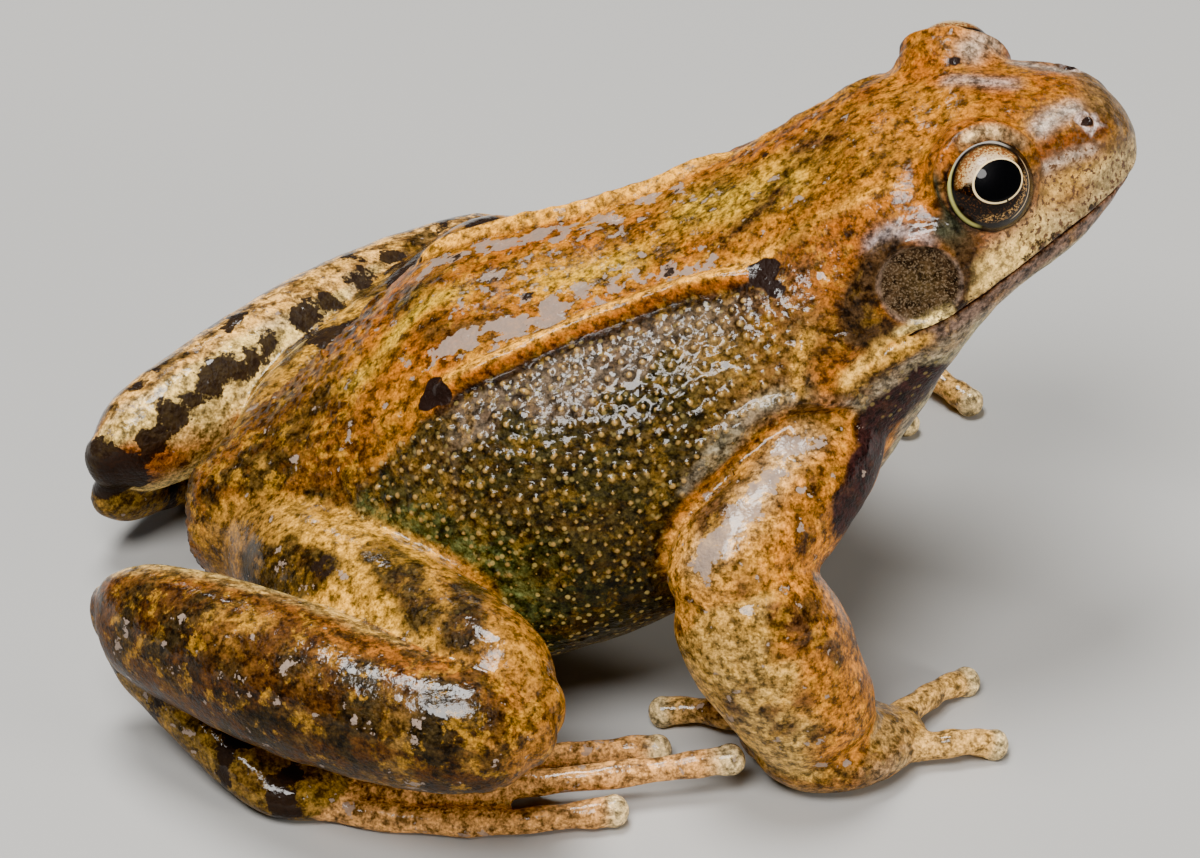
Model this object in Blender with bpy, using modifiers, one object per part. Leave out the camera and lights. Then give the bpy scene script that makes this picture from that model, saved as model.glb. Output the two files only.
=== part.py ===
"""A common frog, life size, sitting upright with its hind legs folded and its chest raised.

Units in the tables are millimetres; the frog faces +X, its left side is +Y, and it sits on Z = 0.
Each part is a loft of closed sections. Where two parts meet, one is cut by its grown neighbour,
so that a thin gap is left between them.
"""

import math

import bpy
from mathutils import Vector

MM = 0.001
GAP = 0.3                    # left between two parts that meet
ORIGIN_X = 29.65             # from the vent forward to the middle of the frog's length
ORIGIN_Y = 0.35              # from the mid plane to the middle of its width

BODY_AROUND = 26             # points round a section of the trunk or head
LIMB_AROUND = 10
DIGIT_AROUND = 6
BALL_AROUND = 16
DISC_AROUND = 24

EYE = Vector((55.3, -7.35, 40.9))            # centre of the right eyeball
EYE_RADIUS = 3.45
LID = Vector((55.2, -6.8, 41.2))             # centre of the dome of lids round it
LID_RADIUS = 4.05
GAZE = Vector((0.2, -0.85, 0.49))            # the way the right eye's opening faces
OPENING_RADIUS = 3.1                         # of the round opening between the lids
OPENING_DEPTH = 8.0
EAR = Vector((50.4, -10.6, 35.3))            # centre of the right ear disc
EAR_RADIUS = 2.8
EAR_THICKNESS = 1.0
EAR_FACING = Vector((-0.05, -0.92, 0.4))
MOUTH_CORNER = Vector((46.0, 0.0, 30.2))     # the mouth is a plane through these two lines
MOUTH_FRONT = Vector((68.0, 0.0, 38.9))
NECK = 0.528                 # where along the trunk and head loft the two are parted
NECK_HALF_GAP = 0.004        # half of their gap, on the same scale
CUTTER_SIZE = 200.0          # a block that cuts everything on one side of a plane

COLOURS = {
    "back": ((0.42, 0.17, 0.03), 0.35),
    "throat": ((0.45, 0.36, 0.24), 0.4),
    "limb": ((0.38, 0.18, 0.05), 0.35),
    "digit": ((0.55, 0.33, 0.15), 0.4),
    "ear": ((0.07, 0.04, 0.02), 0.45),
    "eye": ((0.03, 0.02, 0.01), 0.1),
}

# Trunk and head, from the vent to the snout: the top of the section (x, z), its bottom (x, z), half its
# width, how far down its widest point lies, and how square its upper and lower halves are (2 is round).
BODY = (
    # top           bottom         half width  widest  upper  lower
    ((-0.6, 12.4), (-0.6, 10.4), 1.2, 0.5, 2.0, 2.0),
    ((0.2, 14.4), (-0.1, 7.6), 3.4, 0.5, 2.0, 2.0),
    ((3.2, 17.0), (3.2, 4.8), 6.6, 0.55, 2.0, 2.1),
    ((8.4, 21.0), (9.0, 2.8), 10.4, 0.58, 2.0, 2.3),
    ((13.4, 25.4), (15.6, 2.0), 13.8, 0.60, 2.1, 2.3),
    ((18.0, 28.6), (22.2, 2.4), 16.2, 0.60, 2.3, 2.3),
    ((24.6, 30.6), (29.2, 4.4), 17.2, 0.60, 2.4, 2.2),
    ((31.4, 32.6), (36.0, 7.0), 16.6, 0.58, 2.4, 2.2),
    ((38.0, 35.5), (42.2, 9.4), 14.8, 0.55, 2.4, 2.1),
    ((44.0, 39.1), (47.6, 13.0), 12.8, 0.52, 2.5, 2.0),
    ((48.2, 41.7), (51.2, 18.0), 12.0, 0.45, 2.4, 2.0),
    ((51.4, 42.7), (53.2, 23.4), 11.9, 0.49, 2.3, 2.1),
    ((54.4, 43.9), (55.7, 28.2), 11.0, 0.60, 2.2, 2.1),
    ((57.4, 44.2), (58.4, 31.1), 9.6, 0.66, 2.1, 2.1),
    ((60.4, 44.2), (61.3, 32.6), 7.9, 0.66, 2.1, 2.1),
    ((62.8, 43.9), (63.5, 34.2), 6.2, 0.69, 2.2, 2.1),
    ((65.0, 42.9), (65.4, 35.8), 4.4, 0.71, 2.3, 2.1),
    ((66.5, 41.4), (66.7, 37.2), 2.5, 0.68, 2.2, 2.1),
    ((67.2, 40.0), (67.2, 38.8), 0.8, 0.5, 2.0, 2.0),
)

# Limbs, each a centre line (x, y, z) with its half thickness across and along the given "up" direction.
THIGH = {
    "right": ((5.0, -3.6, 11.2, 3.6, 4.2), (8.2, -9.0, 11.6, 5.0, 5.8), (12.4, -15.0, 12.4, 5.2, 6.0),
              (16.8, -20.8, 13.2, 5.0, 5.6), (20.2, -25.0, 13.4, 4.2, 5.0), (22.2, -27.4, 13.0, 2.4, 3.0)),
    "left": ((5.0, 3.6, 11.2, 3.6, 4.2), (9.0, 9.5, 11.4, 4.8, 5.4), (14.4, 15.5, 12.0, 5.0, 5.4),
             (19.6, 21.4, 12.8, 4.6, 5.0), (23.8, 26.0, 13.6, 3.6, 4.2), (26.0, 28.2, 13.8, 2.0, 2.6)),
}
SHANK = {
    "right": ((21.6, -28.8, 12.6, 2.4, 3.0), (19.0, -28.4, 12.4, 4.2, 4.4), (13.2, -25.6, 12.0, 5.0, 5.1),
              (6.2, -20.8, 11.8, 5.3, 5.5), (-0.4, -15.2, 11.2, 4.6, 5.2), (-4.6, -11.4, 10.4, 3.4, 4.4),
              (-6.4, -9.8, 9.8, 1.6, 2.6)),
    "left": ((25.2, 30.4, 13.0, 1.6, 2.0), (22.6, 29.2, 12.6, 2.9, 3.2), (16.4, 25.2, 12.2, 4.0, 4.3),
             (8.6, 19.4, 11.6, 4.7, 5.0), (1.2, 14.0, 10.7, 4.3, 4.8), (-3.8, 10.6, 10.0, 3.4, 4.1),
             (-6.2, 9.2, 9.4, 1.7, 2.4)),
}
TARSUS = {
    "right": ((-5.8, -9.6, 7.2, 1.4, 1.8), (-4.2, -11.0, 6.2, 2.1, 2.4), (-1.2, -14.4, 4.5, 2.2, 2.4),
              (2.0, -18.0, 2.8, 2.3, 2.2), (5.0, -20.2, 1.9, 2.8, 2.0), (8.0, -20.6, 1.6, 2.6, 1.7)),
    "left": ((-6.2, 9.6, 6.2, 1.4, 1.8), (-4.6, 11.4, 5.2, 2.1, 2.4), (-1.6, 15.0, 3.6, 2.2, 2.4),
             (2.0, 18.4, 2.2, 2.3, 2.2), (5.6, 20.4, 1.9, 2.8, 2.0), (8.6, 20.8, 1.6, 2.6, 1.7)),
}
UPPER_ARM = {
    "right": ((45.6, -7.6, 22.6, 3.0, 3.4), (44.4, -10.6, 21.8, 4.2, 4.4), (41.4, -14.4, 20.4, 4.6, 4.7),
              (38.0, -17.8, 18.6, 4.7, 4.8), (36.0, -19.8, 16.8, 4.2, 4.4), (35.2, -20.8, 15.4, 2.6, 2.8)),
    "left": ((45.6, 7.6, 22.6, 3.0, 3.4), (44.8, 10.8, 21.6, 4.0, 4.2), (43.2, 15.2, 19.8, 4.2, 4.4),
             (41.4, 19.4, 17.6, 4.1, 4.3), (40.2, 22.2, 15.6, 3.6, 4.0), (39.6, 23.6, 14.2, 2.0, 2.4)),
}
FOREARM = {
    "right": ((36.2, -19.8, 18.0, 3.0, 3.2), (37.2, -20.2, 16.0, 4.9, 5.2), (39.2, -20.6, 12.4, 5.4, 5.8),
              (41.0, -20.8, 8.8, 5.1, 5.3), (42.6, -20.6, 5.6, 4.5, 4.8), (43.8, -20.4, 3.6, 3.0, 3.8)),
    "left": ((39.8, 23.0, 16.2, 2.4, 2.6), (41.2, 24.0, 14.2, 4.0, 4.2), (44.2, 26.0, 10.8, 4.4, 4.6),
             (47.2, 27.6, 7.6, 4.0, 4.4), (49.6, 28.6, 4.8, 3.5, 3.9), (51.0, 29.0, 3.2, 2.4, 3.0)),
}
PALM = {
    "right": ((39.4, -18.4, 2.6, 2.2, 2.0), (41.6, -19.6, 3.0, 4.2, 3.3), (44.8, -19.8, 2.6, 4.5, 3.0),
              (47.8, -18.8, 2.0, 3.4, 2.1), (49.6, -18.0, 1.6, 2.0, 1.4)),
    "left": ((46.6, 27.4, 2.4, 2.2, 1.8), (48.8, 28.6, 2.8, 3.8, 3.0), (51.6, 29.0, 2.4, 4.0, 2.7),
             (54.2, 28.4, 1.9, 3.0, 2.0), (55.8, 27.6, 1.6, 1.8, 1.4)),
}

# Digits: the points of the centre line (x, y, z). The fingers run from the thumb outwards, the toes
# from the inner toe.
FINGERS = {
    "right": (((41.6, -17.4, 1.8), (38.2, -15.4, 2.0), (34.8, -13.9, 1.6), (32.6, -13.5, 1.3)),
              ((43.6, -17.6, 1.8), (43.2, -13.6, 1.8), (43.0, -10.6, 1.2)),
              ((47.2, -18.2, 1.9), (50.4, -15.6, 2.0), (53.0, -13.2, 1.7), (54.8, -12.0, 1.2)),
              ((47.6, -19.4, 1.8), (51.0, -19.8, 1.8), (54.0, -19.6, 1.8), (55.8, -19.4, 1.2))),
    "left": (((48.6, 26.6, 1.7), (46.0, 23.6, 1.8), (43.8, 21.2, 1.3)),
             ((51.0, 26.6, 1.7), (51.2, 22.8, 1.6), (51.4, 19.8, 1.2)),
             ((53.2, 27.2, 1.8), (54.4, 24.2, 1.7), (54.8, 21.8, 1.6), (54.9, 20.0, 1.2)),
             ((54.6, 28.0, 1.8), (57.2, 25.8, 1.8), (59.0, 23.6, 1.6), (60.2, 22.2, 1.2))),
}
TOES = {
    "right": (((7.0, -19.0, 1.5), (11.0, -17.4, 1.4), (14.6, -16.4, 1.2)),
              ((7.2, -19.6, 1.5), (13.0, -18.0, 1.5), (18.0, -17.0, 1.3), (21.4, -16.6, 1.2)),
              ((7.6, -20.0, 1.6), (15.0, -19.4, 1.7), (23.0, -18.6, 1.8), (29.4, -17.8, 1.5),
               (31.8, -17.8, 1.3)),
              ((8.0, -20.8, 1.6), (16.0, -21.6, 2.0), (25.0, -22.0, 2.6), (33.0, -21.8, 3.0),
               (36.6, -21.6, 3.2)),
              ((7.4, -21.4, 1.5), (13.0, -23.6, 1.4), (20.0, -24.8, 1.4), (26.0, -24.6, 1.5),
               (28.0, -24.4, 1.4))),
    "left": (((7.6, 19.2, 1.5), (11.6, 17.8, 1.4), (15.2, 17.0, 1.2)),
             ((7.8, 19.8, 1.5), (13.6, 18.8, 1.5), (18.8, 18.4, 1.3), (22.2, 18.2, 1.2)),
             ((8.2, 20.2, 1.6), (15.6, 20.6, 1.6), (23.4, 21.2, 1.5), (30.4, 21.4, 1.3), (32.4, 21.4, 1.2)),
             ((8.6, 20.8, 1.6), (16.6, 22.6, 1.6), (25.6, 24.6, 1.6), (34.0, 26.0, 1.5), (38.2, 26.6, 1.3)),
             ((8.0, 21.4, 1.5), (13.6, 24.2, 1.4), (20.6, 27.2, 1.4), (26.6, 29.2, 1.3), (29.4, 30.0, 1.2))),
}
DIGIT_RADII = (1.25, 1.05, 0.95, 1.15)       # from base to tip
DIGIT_SINK = 0.3             # how far the tables' heights are lowered, so that the digits lie flat
WEB_START = 0.04             # where along the toes the web begins
WEB_REACH = 0.52             # and how far it runs
WEB_EDGE = 0.8               # how much of that it keeps half way between two toes
WEB_STEPS = 5
WEB_THICKNESS = 0.6
WEB_DROP = 0.35              # how far under the middle of the toes the web lies
CAP_REACH = 0.7              # a limb's rounded end: how far it goes on past the last section,
CAP_WIDTH = 0.6              # and how wide it still is there, both as parts of that section


# ---- shared tools --------------------------------------------------------------------------------

def new_collection(name):
    collection = bpy.data.collections.new(name)
    bpy.context.scene.collection.children.link(collection)
    return collection


def material(slot):
    found = bpy.data.materials.get(slot)
    if found:
        return found
    colour, roughness = COLOURS[slot]
    made = bpy.data.materials.new(slot)
    made.use_nodes = True
    shader = made.node_tree.nodes["Principled BSDF"]
    shader.inputs["Base Color"].default_value = (*colour, 1.0)
    shader.inputs["Roughness"].default_value = roughness
    return made


def add_object(name, verts, faces, slot, collection):
    """A mesh object from points in millimetres in the frog's own frame."""
    shift = Vector((ORIGIN_X, ORIGIN_Y, 0.0))
    mesh = bpy.data.meshes.new(name)
    mesh.from_pydata([(Vector(v) - shift) * MM for v in verts], [], faces)
    mesh.shade_smooth()
    mesh.materials.append(material(slot))
    made = bpy.data.objects.new(name, mesh)
    collection.objects.link(made)
    return made


def between(rows, place):
    """The row of numbers at a place from 0 to 1 along a table, on a smooth curve through its rows."""
    span = place * (len(rows) - 1)
    index = min(int(span), len(rows) - 2)
    t = span - index
    before, start = rows[max(index - 1, 0)], rows[index]
    end, after = rows[index + 1], rows[min(index + 2, len(rows) - 1)]
    return [
        0.5 * (2 * b + (c - a) * t + (2 * a - 5 * b + 4 * c - d) * t * t + (3 * b - a - 3 * c + d) * t ** 3)
        for a, b, c, d in zip(before, start, end, after)
    ]


def stitch(rings):
    """Points and outward faces of a closed loft through rings of equally many points."""
    around = len(rings[0])
    verts = [point for ring in rings for point in ring]
    faces = []
    for row in range(len(rings) - 1):
        for k in range(around):
            near, far = row * around + k, row * around + (k + 1) % around
            faces.append((near, far, far + around, near + around))
    faces.append(tuple(reversed(range(around))))
    last = (len(rings) - 1) * around
    faces.append(tuple(range(last, last + around)))
    return verts, faces


def power(value, exponent):
    return math.copysign(abs(value) ** exponent, value)


def body_ring(place, grow):
    """One section of the trunk and head, a superellipse with unlike upper and lower halves."""
    flat = [[*top, *bottom, *rest] for top, bottom, *rest in BODY]
    tx, tz, bx, bz, half, widest, upper, lower = between(flat, place)
    top, bottom = Vector((tx, 0, tz)), Vector((bx, 0, bz))
    height = (top - bottom).length
    up = (top - bottom) / height
    centre = top - up * height * widest
    rise, drop = height * widest + grow, height * (1 - widest) + grow
    ring = []
    for k in range(BODY_AROUND):
        angle = 2 * math.pi * k / BODY_AROUND
        above = math.sin(angle) >= 0
        square = 2 / (upper if above else lower)
        side = (half + grow) * power(math.cos(angle), square)
        lift = (rise if above else drop) * power(math.sin(angle), square)
        ring.append(centre + Vector((0, side, 0)) + up * lift)
    return ring


def body_loft(name, start, end, rings, slot, collection, grow=0.0):
    step = (end - start) / (rings - 1)
    places = [min(max(start + step * n, 0.0), 1.0) for n in range(rings)]
    return add_object(name, *stitch([body_ring(p, grow) for p in places]), slot, collection)


def tube(name, rows, rings, around, up, slot, collection, grow=0.0):
    """A rounded limb through rows of x, y, z, half width across and half width along "up"."""
    line = [between(rows, n / (rings - 1)) for n in range(rings)]
    centres = [Vector(row[:3]) for row in line]
    heading = [(centres[min(n + 1, rings - 1)] - centres[max(n - 1, 0)]).normalized() for n in range(rings)]
    sizes = [(row[3] + grow, row[4] + grow) for row in line]
    for end, sense in ((0, -1), (-1, 1)):
        reach = min(sizes[end]) * CAP_REACH * sense
        place = 0 if end == 0 else len(centres)
        centres.insert(place, centres[end] + heading[end] * reach)
        sizes.insert(place, (sizes[end][0] * CAP_WIDTH, sizes[end][1] * CAP_WIDTH))
        heading.insert(place, heading[end])
    turns = [2 * math.pi * k / around for k in range(around)]
    loops = []
    for centre, along, (across, tall) in zip(centres, heading, sizes):
        side = along.cross(Vector(up)).normalized()
        over = side.cross(along)
        loops.append([centre + side * across * math.cos(t) - over * tall * math.sin(t) for t in turns])
    return add_object(name, *stitch(loops), slot, collection)


def digit(name, points, collection):
    """A finger or toe, with its slightly swollen tip."""
    radii = [[radius] for radius in DIGIT_RADII]
    rows = []
    for n, (x, y, z) in enumerate(points):
        radius = between(radii, n / (len(points) - 1))[0]
        rows.append((x, y, z - DIGIT_SINK, radius, radius))
    return tube(name, rows, 2 * len(points), DIGIT_AROUND, (0, 0, 1), "digit", collection)


def adopt(name, slot, collection, centre):
    """Names the primitive that was just added, and puts it in its place and collection."""
    made = bpy.context.object
    made.name = name
    made.data.name = name
    made.data.materials.append(material(slot))
    for owner in list(made.users_collection):
        owner.objects.unlink(made)
    collection.objects.link(made)
    made.location = (centre - Vector((ORIGIN_X, ORIGIN_Y, 0))) * MM
    return made


def ball(name, centre, radius, slot, collection):
    rings = BALL_AROUND // 2
    bpy.ops.mesh.primitive_uv_sphere_add(segments=BALL_AROUND, ring_count=rings, radius=radius * MM)
    made = adopt(name, slot, collection, centre)
    made.data.shade_smooth()
    return made


def disc(name, centre, facing, radius, depth, slot, collection):
    """A short cylinder about a point, its flat faces turned along a direction."""
    bpy.ops.mesh.primitive_cylinder_add(vertices=DISC_AROUND, radius=radius * MM, depth=depth * MM)
    made = adopt(name, slot, collection, centre)
    made.rotation_mode = "QUATERNION"
    made.rotation_quaternion = facing.to_track_quat("Z", "Y")
    return made


def block(name, face, normal, collection):
    """A large cube with one face on the plane through a point, on the side that the normal leaves."""
    bpy.ops.mesh.primitive_cube_add(size=CUTTER_SIZE * MM)
    made = adopt(name, "back", collection, face - normal * CUTTER_SIZE / 2)
    made.rotation_mode = "QUATERNION"
    made.rotation_quaternion = normal.to_track_quat("Z", "Y")
    return made


def boolean(target, other, operation):
    modifier = target.modifiers.new(f"{operation.lower()} {other.name}", "BOOLEAN")
    modifier.operation = operation
    modifier.object = other
    modifier.solver = "EXACT"


def settle(target):
    """Applies the modifiers, so that the object's own mesh has the final shape."""
    bpy.context.view_layer.update()
    graph = bpy.context.evaluated_depsgraph_get()
    final = bpy.data.meshes.new_from_object(target.evaluated_get(graph))
    target.modifiers.clear()
    target.data = final
    final.shade_smooth()


def fuse(target, others):
    for other in others:
        boolean(target, other, "UNION")
    settle(target)
    for other in others:
        bpy.data.objects.remove(other)


def cut(target, cutters):
    for cutter in cutters:
        boolean(target, cutter, "DIFFERENCE")
    settle(target)


def on_side(vector, side):
    """A place or direction of the right side, or its mirror image for the left."""
    return vector if side == "right" else Vector((vector.x, -vector.y, vector.z))


# ---- the frog ------------------------------------------------------------------------------------

def make_trunk():
    trunk = body_loft("trunk", 0.0, NECK - NECK_HALF_GAP, 20, "back", frog)
    cut(trunk, [floor_cut])


def make_head():
    """The head with its lid domes, parted along the mouth into the skull part and the lower jaw."""
    head = body_loft("head", NECK + NECK_HALF_GAP, 1.0, 15, "back", frog)
    jaw = body_loft("lower_jaw", NECK + NECK_HALF_GAP, 1.0, 15, "throat", frog)
    out_of_mouth = (MOUTH_FRONT - MOUTH_CORNER).cross(Vector((0, 1, 0))).normalized()
    if out_of_mouth.z < 0:
        out_of_mouth.negate()
    half_gap = out_of_mouth * GAP / 2
    below = block("below_mouth", MOUTH_CORNER + half_gap, out_of_mouth, cutters)
    above = block("above_mouth", MOUTH_CORNER - half_gap, -out_of_mouth, cutters)
    for side in SIDES:
        fuse(head, [ball(f"lid_{side}", on_side(LID, side), LID_RADIUS, "back", cutters)])
    cut(head, [below])
    cut(jaw, [above])
    for side in SIDES:
        eye, gaze = on_side(EYE, side), on_side(GAZE, side)
        socket = ball(f"socket_{side}", eye, EYE_RADIUS + GAP, "back", cutters)
        opening = disc(f"opening_{side}", eye + gaze * OPENING_DEPTH / 2, gaze, OPENING_RADIUS, OPENING_DEPTH,
                       "back", cutters)
        cut(head, [socket, opening])
        ball(f"eye_{side}", eye, EYE_RADIUS, "eye", frog)


def make_ear(side):
    """The ear disc, a thin round plate let into the side of the head."""
    place, facing = on_side(EAR, side), on_side(EAR_FACING, side)
    disc(f"ear_{side}", place, facing, EAR_RADIUS, EAR_THICKNESS, "ear", frog)
    seat_depth = 3 * EAR_THICKNESS + 2 * GAP
    seat = disc(f"ear_seat_{side}", place + facing * EAR_THICKNESS, facing, EAR_RADIUS + GAP, seat_depth,
                "ear", cutters)
    cut(bpy.data.objects["head"], [seat])


def make_leg(side):
    up = (0, 0, 1)
    solid, grown = {}, {}
    for part, table in (("thigh", THIGH), ("shank", SHANK), ("tarsus", TARSUS)):
        rows = table[side]
        solid[part] = tube(f"{part}_{side}", rows, 9, LIMB_AROUND, up, "limb", frog)
        grown[part] = tube(f"{part}_grown_{side}", rows, 9, LIMB_AROUND, up, "limb", cutters, GAP)
    foot = digit(f"foot_{side}", TOES[side][0], frog)
    toes = [digit(f"toe_{n}_{side}", points, cutters) for n, points in enumerate(TOES[side]) if n]
    fuse(foot, toes + [make_web(side)])
    cut(solid["thigh"], [trunk_grown, floor_cut])
    cut(solid["shank"], [trunk_grown, grown["thigh"], floor_cut])
    cut(solid["tarsus"], [trunk_grown, grown["thigh"], grown["shank"], floor_cut])
    cut(foot, [grown["thigh"], grown["shank"], grown["tarsus"], floor_cut])


def make_web(side):
    """The web of a foot, one thin plate under all five toes, with its edge drawn in between them."""
    columns = []
    for n, toe in enumerate(TOES[side]):
        places = [WEB_START + WEB_REACH * k / (WEB_STEPS - 1) for k in range(WEB_STEPS)]
        column = [Vector(between(toe, place)) for place in places]
        if n:
            middle = [(a + b) / 2 for a, b in zip(columns[-1], column)]
            columns.append([middle[0].lerp(point, WEB_EDGE) for point in middle])
        columns.append(column)
    verts = [point - Vector((0, 0, WEB_DROP)) for column in columns for point in column]
    faces = []
    for c in range(len(columns) - 1):
        for k in range(WEB_STEPS - 1):
            near = c * WEB_STEPS + k
            faces.append((near, near + WEB_STEPS, near + WEB_STEPS + 1, near + 1))
    web = add_object(f"web_{side}", verts, faces, "digit", cutters)
    thick = web.modifiers.new("thickness", "SOLIDIFY")
    thick.thickness = WEB_THICKNESS * MM
    thick.offset = 0.0
    settle(web)
    return web


def make_arm(side):
    solid, grown = {}, {}
    for part, table, up in (("upper_arm", UPPER_ARM, (0, 0, 1)), ("forearm", FOREARM, (1, 0, 0.3))):
        rows = table[side]
        solid[part] = tube(f"{part}_{side}", rows, 8, LIMB_AROUND, up, "limb", frog)
        grown[part] = tube(f"{part}_grown_{side}", rows, 8, LIMB_AROUND, up, "limb", cutters, GAP)
    hand = tube(f"hand_{side}", PALM[side], 6, LIMB_AROUND, (0, 0, 1), "digit", frog)
    fuse(hand, [digit(f"finger_{n}_{side}", points, cutters) for n, points in enumerate(FINGERS[side])])
    cut(solid["upper_arm"], [trunk_grown])
    cut(solid["forearm"], [trunk_grown, grown["upper_arm"], floor_cut])
    cut(hand, [grown["forearm"], floor_cut])


for leftover in list(bpy.data.objects):
    bpy.data.objects.remove(leftover)
frog = new_collection("common_frog")
cutters = new_collection("cutters")
cutters.hide_render = True
SIDES = ("right", "left")

floor_cut = block("floor_cut", Vector((ORIGIN_X, ORIGIN_Y, 0)), Vector((0, 0, 1)), cutters)
trunk_grown = body_loft("trunk_grown", 0.0, 1.0, 38, "back", cutters, GAP)

make_trunk()
make_head()
for side in SIDES:
    make_ear(side)
    make_leg(side)
    make_arm(side)
for cutter in cutters.objects:
    cutter.hide_render = True
    cutter.display_type = "WIRE"
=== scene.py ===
import math

import bmesh
import bpy
import numpy as np
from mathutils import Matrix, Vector
from mathutils.kdtree import KDTree


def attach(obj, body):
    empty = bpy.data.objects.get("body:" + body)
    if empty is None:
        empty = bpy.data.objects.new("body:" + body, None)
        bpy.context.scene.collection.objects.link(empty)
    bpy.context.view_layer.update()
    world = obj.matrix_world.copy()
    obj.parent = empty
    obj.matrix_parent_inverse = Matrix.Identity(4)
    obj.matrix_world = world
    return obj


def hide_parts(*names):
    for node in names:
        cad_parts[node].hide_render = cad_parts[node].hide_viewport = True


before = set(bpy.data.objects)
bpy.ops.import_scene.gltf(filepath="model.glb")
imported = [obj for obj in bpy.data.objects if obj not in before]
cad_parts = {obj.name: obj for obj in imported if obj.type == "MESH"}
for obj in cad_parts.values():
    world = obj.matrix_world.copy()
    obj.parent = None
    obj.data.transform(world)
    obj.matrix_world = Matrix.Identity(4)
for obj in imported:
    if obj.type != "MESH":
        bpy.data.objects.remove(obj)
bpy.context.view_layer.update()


# ==== The table and the lamps ===================================================================
# A common frog's model sits on a plain pale table top of painted board, under soft lamps such as
# museums hang round a wet-looking subject: one broad one above, smaller ones at its sides.

MM = 0.001
MIDDLE = Vector((-0.24, -0.35, 16.6)) * MM      # the point on the frog that the camera is turned to
CAMERA_DISTANCE = 420 * MM
CAMERA_TURN = math.radians(-5.5)                # to the frog's right side, a little from its rear
CAMERA_HEIGHT = math.radians(36)
LENS = 174.76


def put(name, data):
    """Stands a new object in the scene."""
    made = bpy.data.objects.new(name, data)
    bpy.context.scene.collection.objects.link(made)
    return made


table = bpy.data.meshes.new("table_top")
table.from_pydata([(x, y, 0.0) for x, y in ((-3, -3), (3, -3), (3, 3), (-3, 3))], [], [(0, 1, 2, 3)])
put("table_top", table)


def finish(name):
    """A new material's node tree and its Principled shader."""
    made = bpy.data.materials.new(name)
    made.use_nodes = True
    return made, made.node_tree, made.node_tree.nodes["Principled BSDF"]


def node(tree, kind, inputs=None, **settings):
    """Adds a node with its settings, and sets or links its inputs."""
    made = tree.nodes.new("ShaderNode" + kind)
    for key, value in settings.items():
        setattr(made, key, value)
    for key, value in (inputs or {}).items():
        if isinstance(value, bpy.types.NodeSocket):
            tree.links.new(value, made.inputs[key])
        else:
            made.inputs[key].default_value = value
    return made


table_finish, tree, shader = finish("pale_table")
shader.inputs["Base Color"].default_value = (0.43, 0.43, 0.42, 1)
shader.inputs["Roughness"].default_value = 0.6
grain = node(tree, "TexNoise", {"Scale": 900})
bump = node(tree, "Bump", {"Strength": 0.05, "Distance": 0.0002, "Height": grain.outputs["Fac"]})
tree.links.new(bump.outputs["Normal"], shader.inputs["Normal"])
table.materials.append(table_finish)

# name, place in metres, size, power, colour
LAMPS = (
    ("overhead", (-0.12, 0.10, 0.90), (0.40, 0.30), 16.0, (1.0, 0.98, 0.95)),
    ("camera_side", (-0.20, -0.42, 0.80), (0.45, 0.35), 16.0, (1.0, 0.97, 0.94)),
    ("front_right", (0.75, -0.60, 0.25), (0.25, 0.45), 12.5, (1.0, 0.95, 0.87)),
    ("behind", (-0.24, 0.74, 0.55), (0.10, 0.08), 0.5, (0.97, 0.98, 1.0)),
)
for name, place, (wide, high), power, colour in LAMPS:
    lamp = bpy.data.lights.new(name, "AREA")
    lamp.shape = "ELLIPSE"
    lamp.size, lamp.size_y = wide, high
    lamp.energy = power
    lamp.color = colour
    lamp_object = put(name, lamp)
    lamp_object.location = place
    lamp_object.rotation_euler = (MIDDLE - Vector(place)).to_track_quat("-Z", "Y").to_euler()
    lamp_object.visible_glossy = name != "front_right"      # this one only fills, without a shine

world = bpy.data.worlds.new("room")
world.use_nodes = True
world.node_tree.nodes["Background"].inputs["Color"].default_value = (0.80, 0.86, 0.95, 1)
world.node_tree.nodes["Background"].inputs["Strength"].default_value = 0.13
bpy.context.scene.world = world
bpy.context.scene.view_settings.look = "AgX - Punchy"

lens = bpy.data.cameras.new("camera")
lens.sensor_width = 36
lens.lens = LENS
lens.clip_start = 0.01
lens.clip_end = 20
camera = put("camera", lens)
camera.rotation_euler = (math.pi / 2 - CAMERA_HEIGHT, 0, CAMERA_TURN)
toward_camera = Vector((
    math.sin(CAMERA_TURN) * math.cos(CAMERA_HEIGHT),
    -math.cos(CAMERA_TURN) * math.cos(CAMERA_HEIGHT),
    math.sin(CAMERA_HEIGHT),
))
camera.location = MIDDLE + toward_camera * CAMERA_DISTANCE
bpy.context.scene.camera = camera


# ==== The body under the skin ===================================================================
# The frog is modelled in millimetres from its vent, facing +X with its left side at +Y. The model
# maker builds the trunk and head over one form, and lays each limb, finger and toe on as a roll.

ORIGIN = np.array((29.65, 0.35, 0.0))           # where the frame's origin lies, from the vent
SIDES = {"right": np.array((1, 1, 1)), "left": np.array((1, -1, 1))}     # and what mirrors a place to them
GRAIN = 0.2             # spacing of the modelled surface's points

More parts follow.
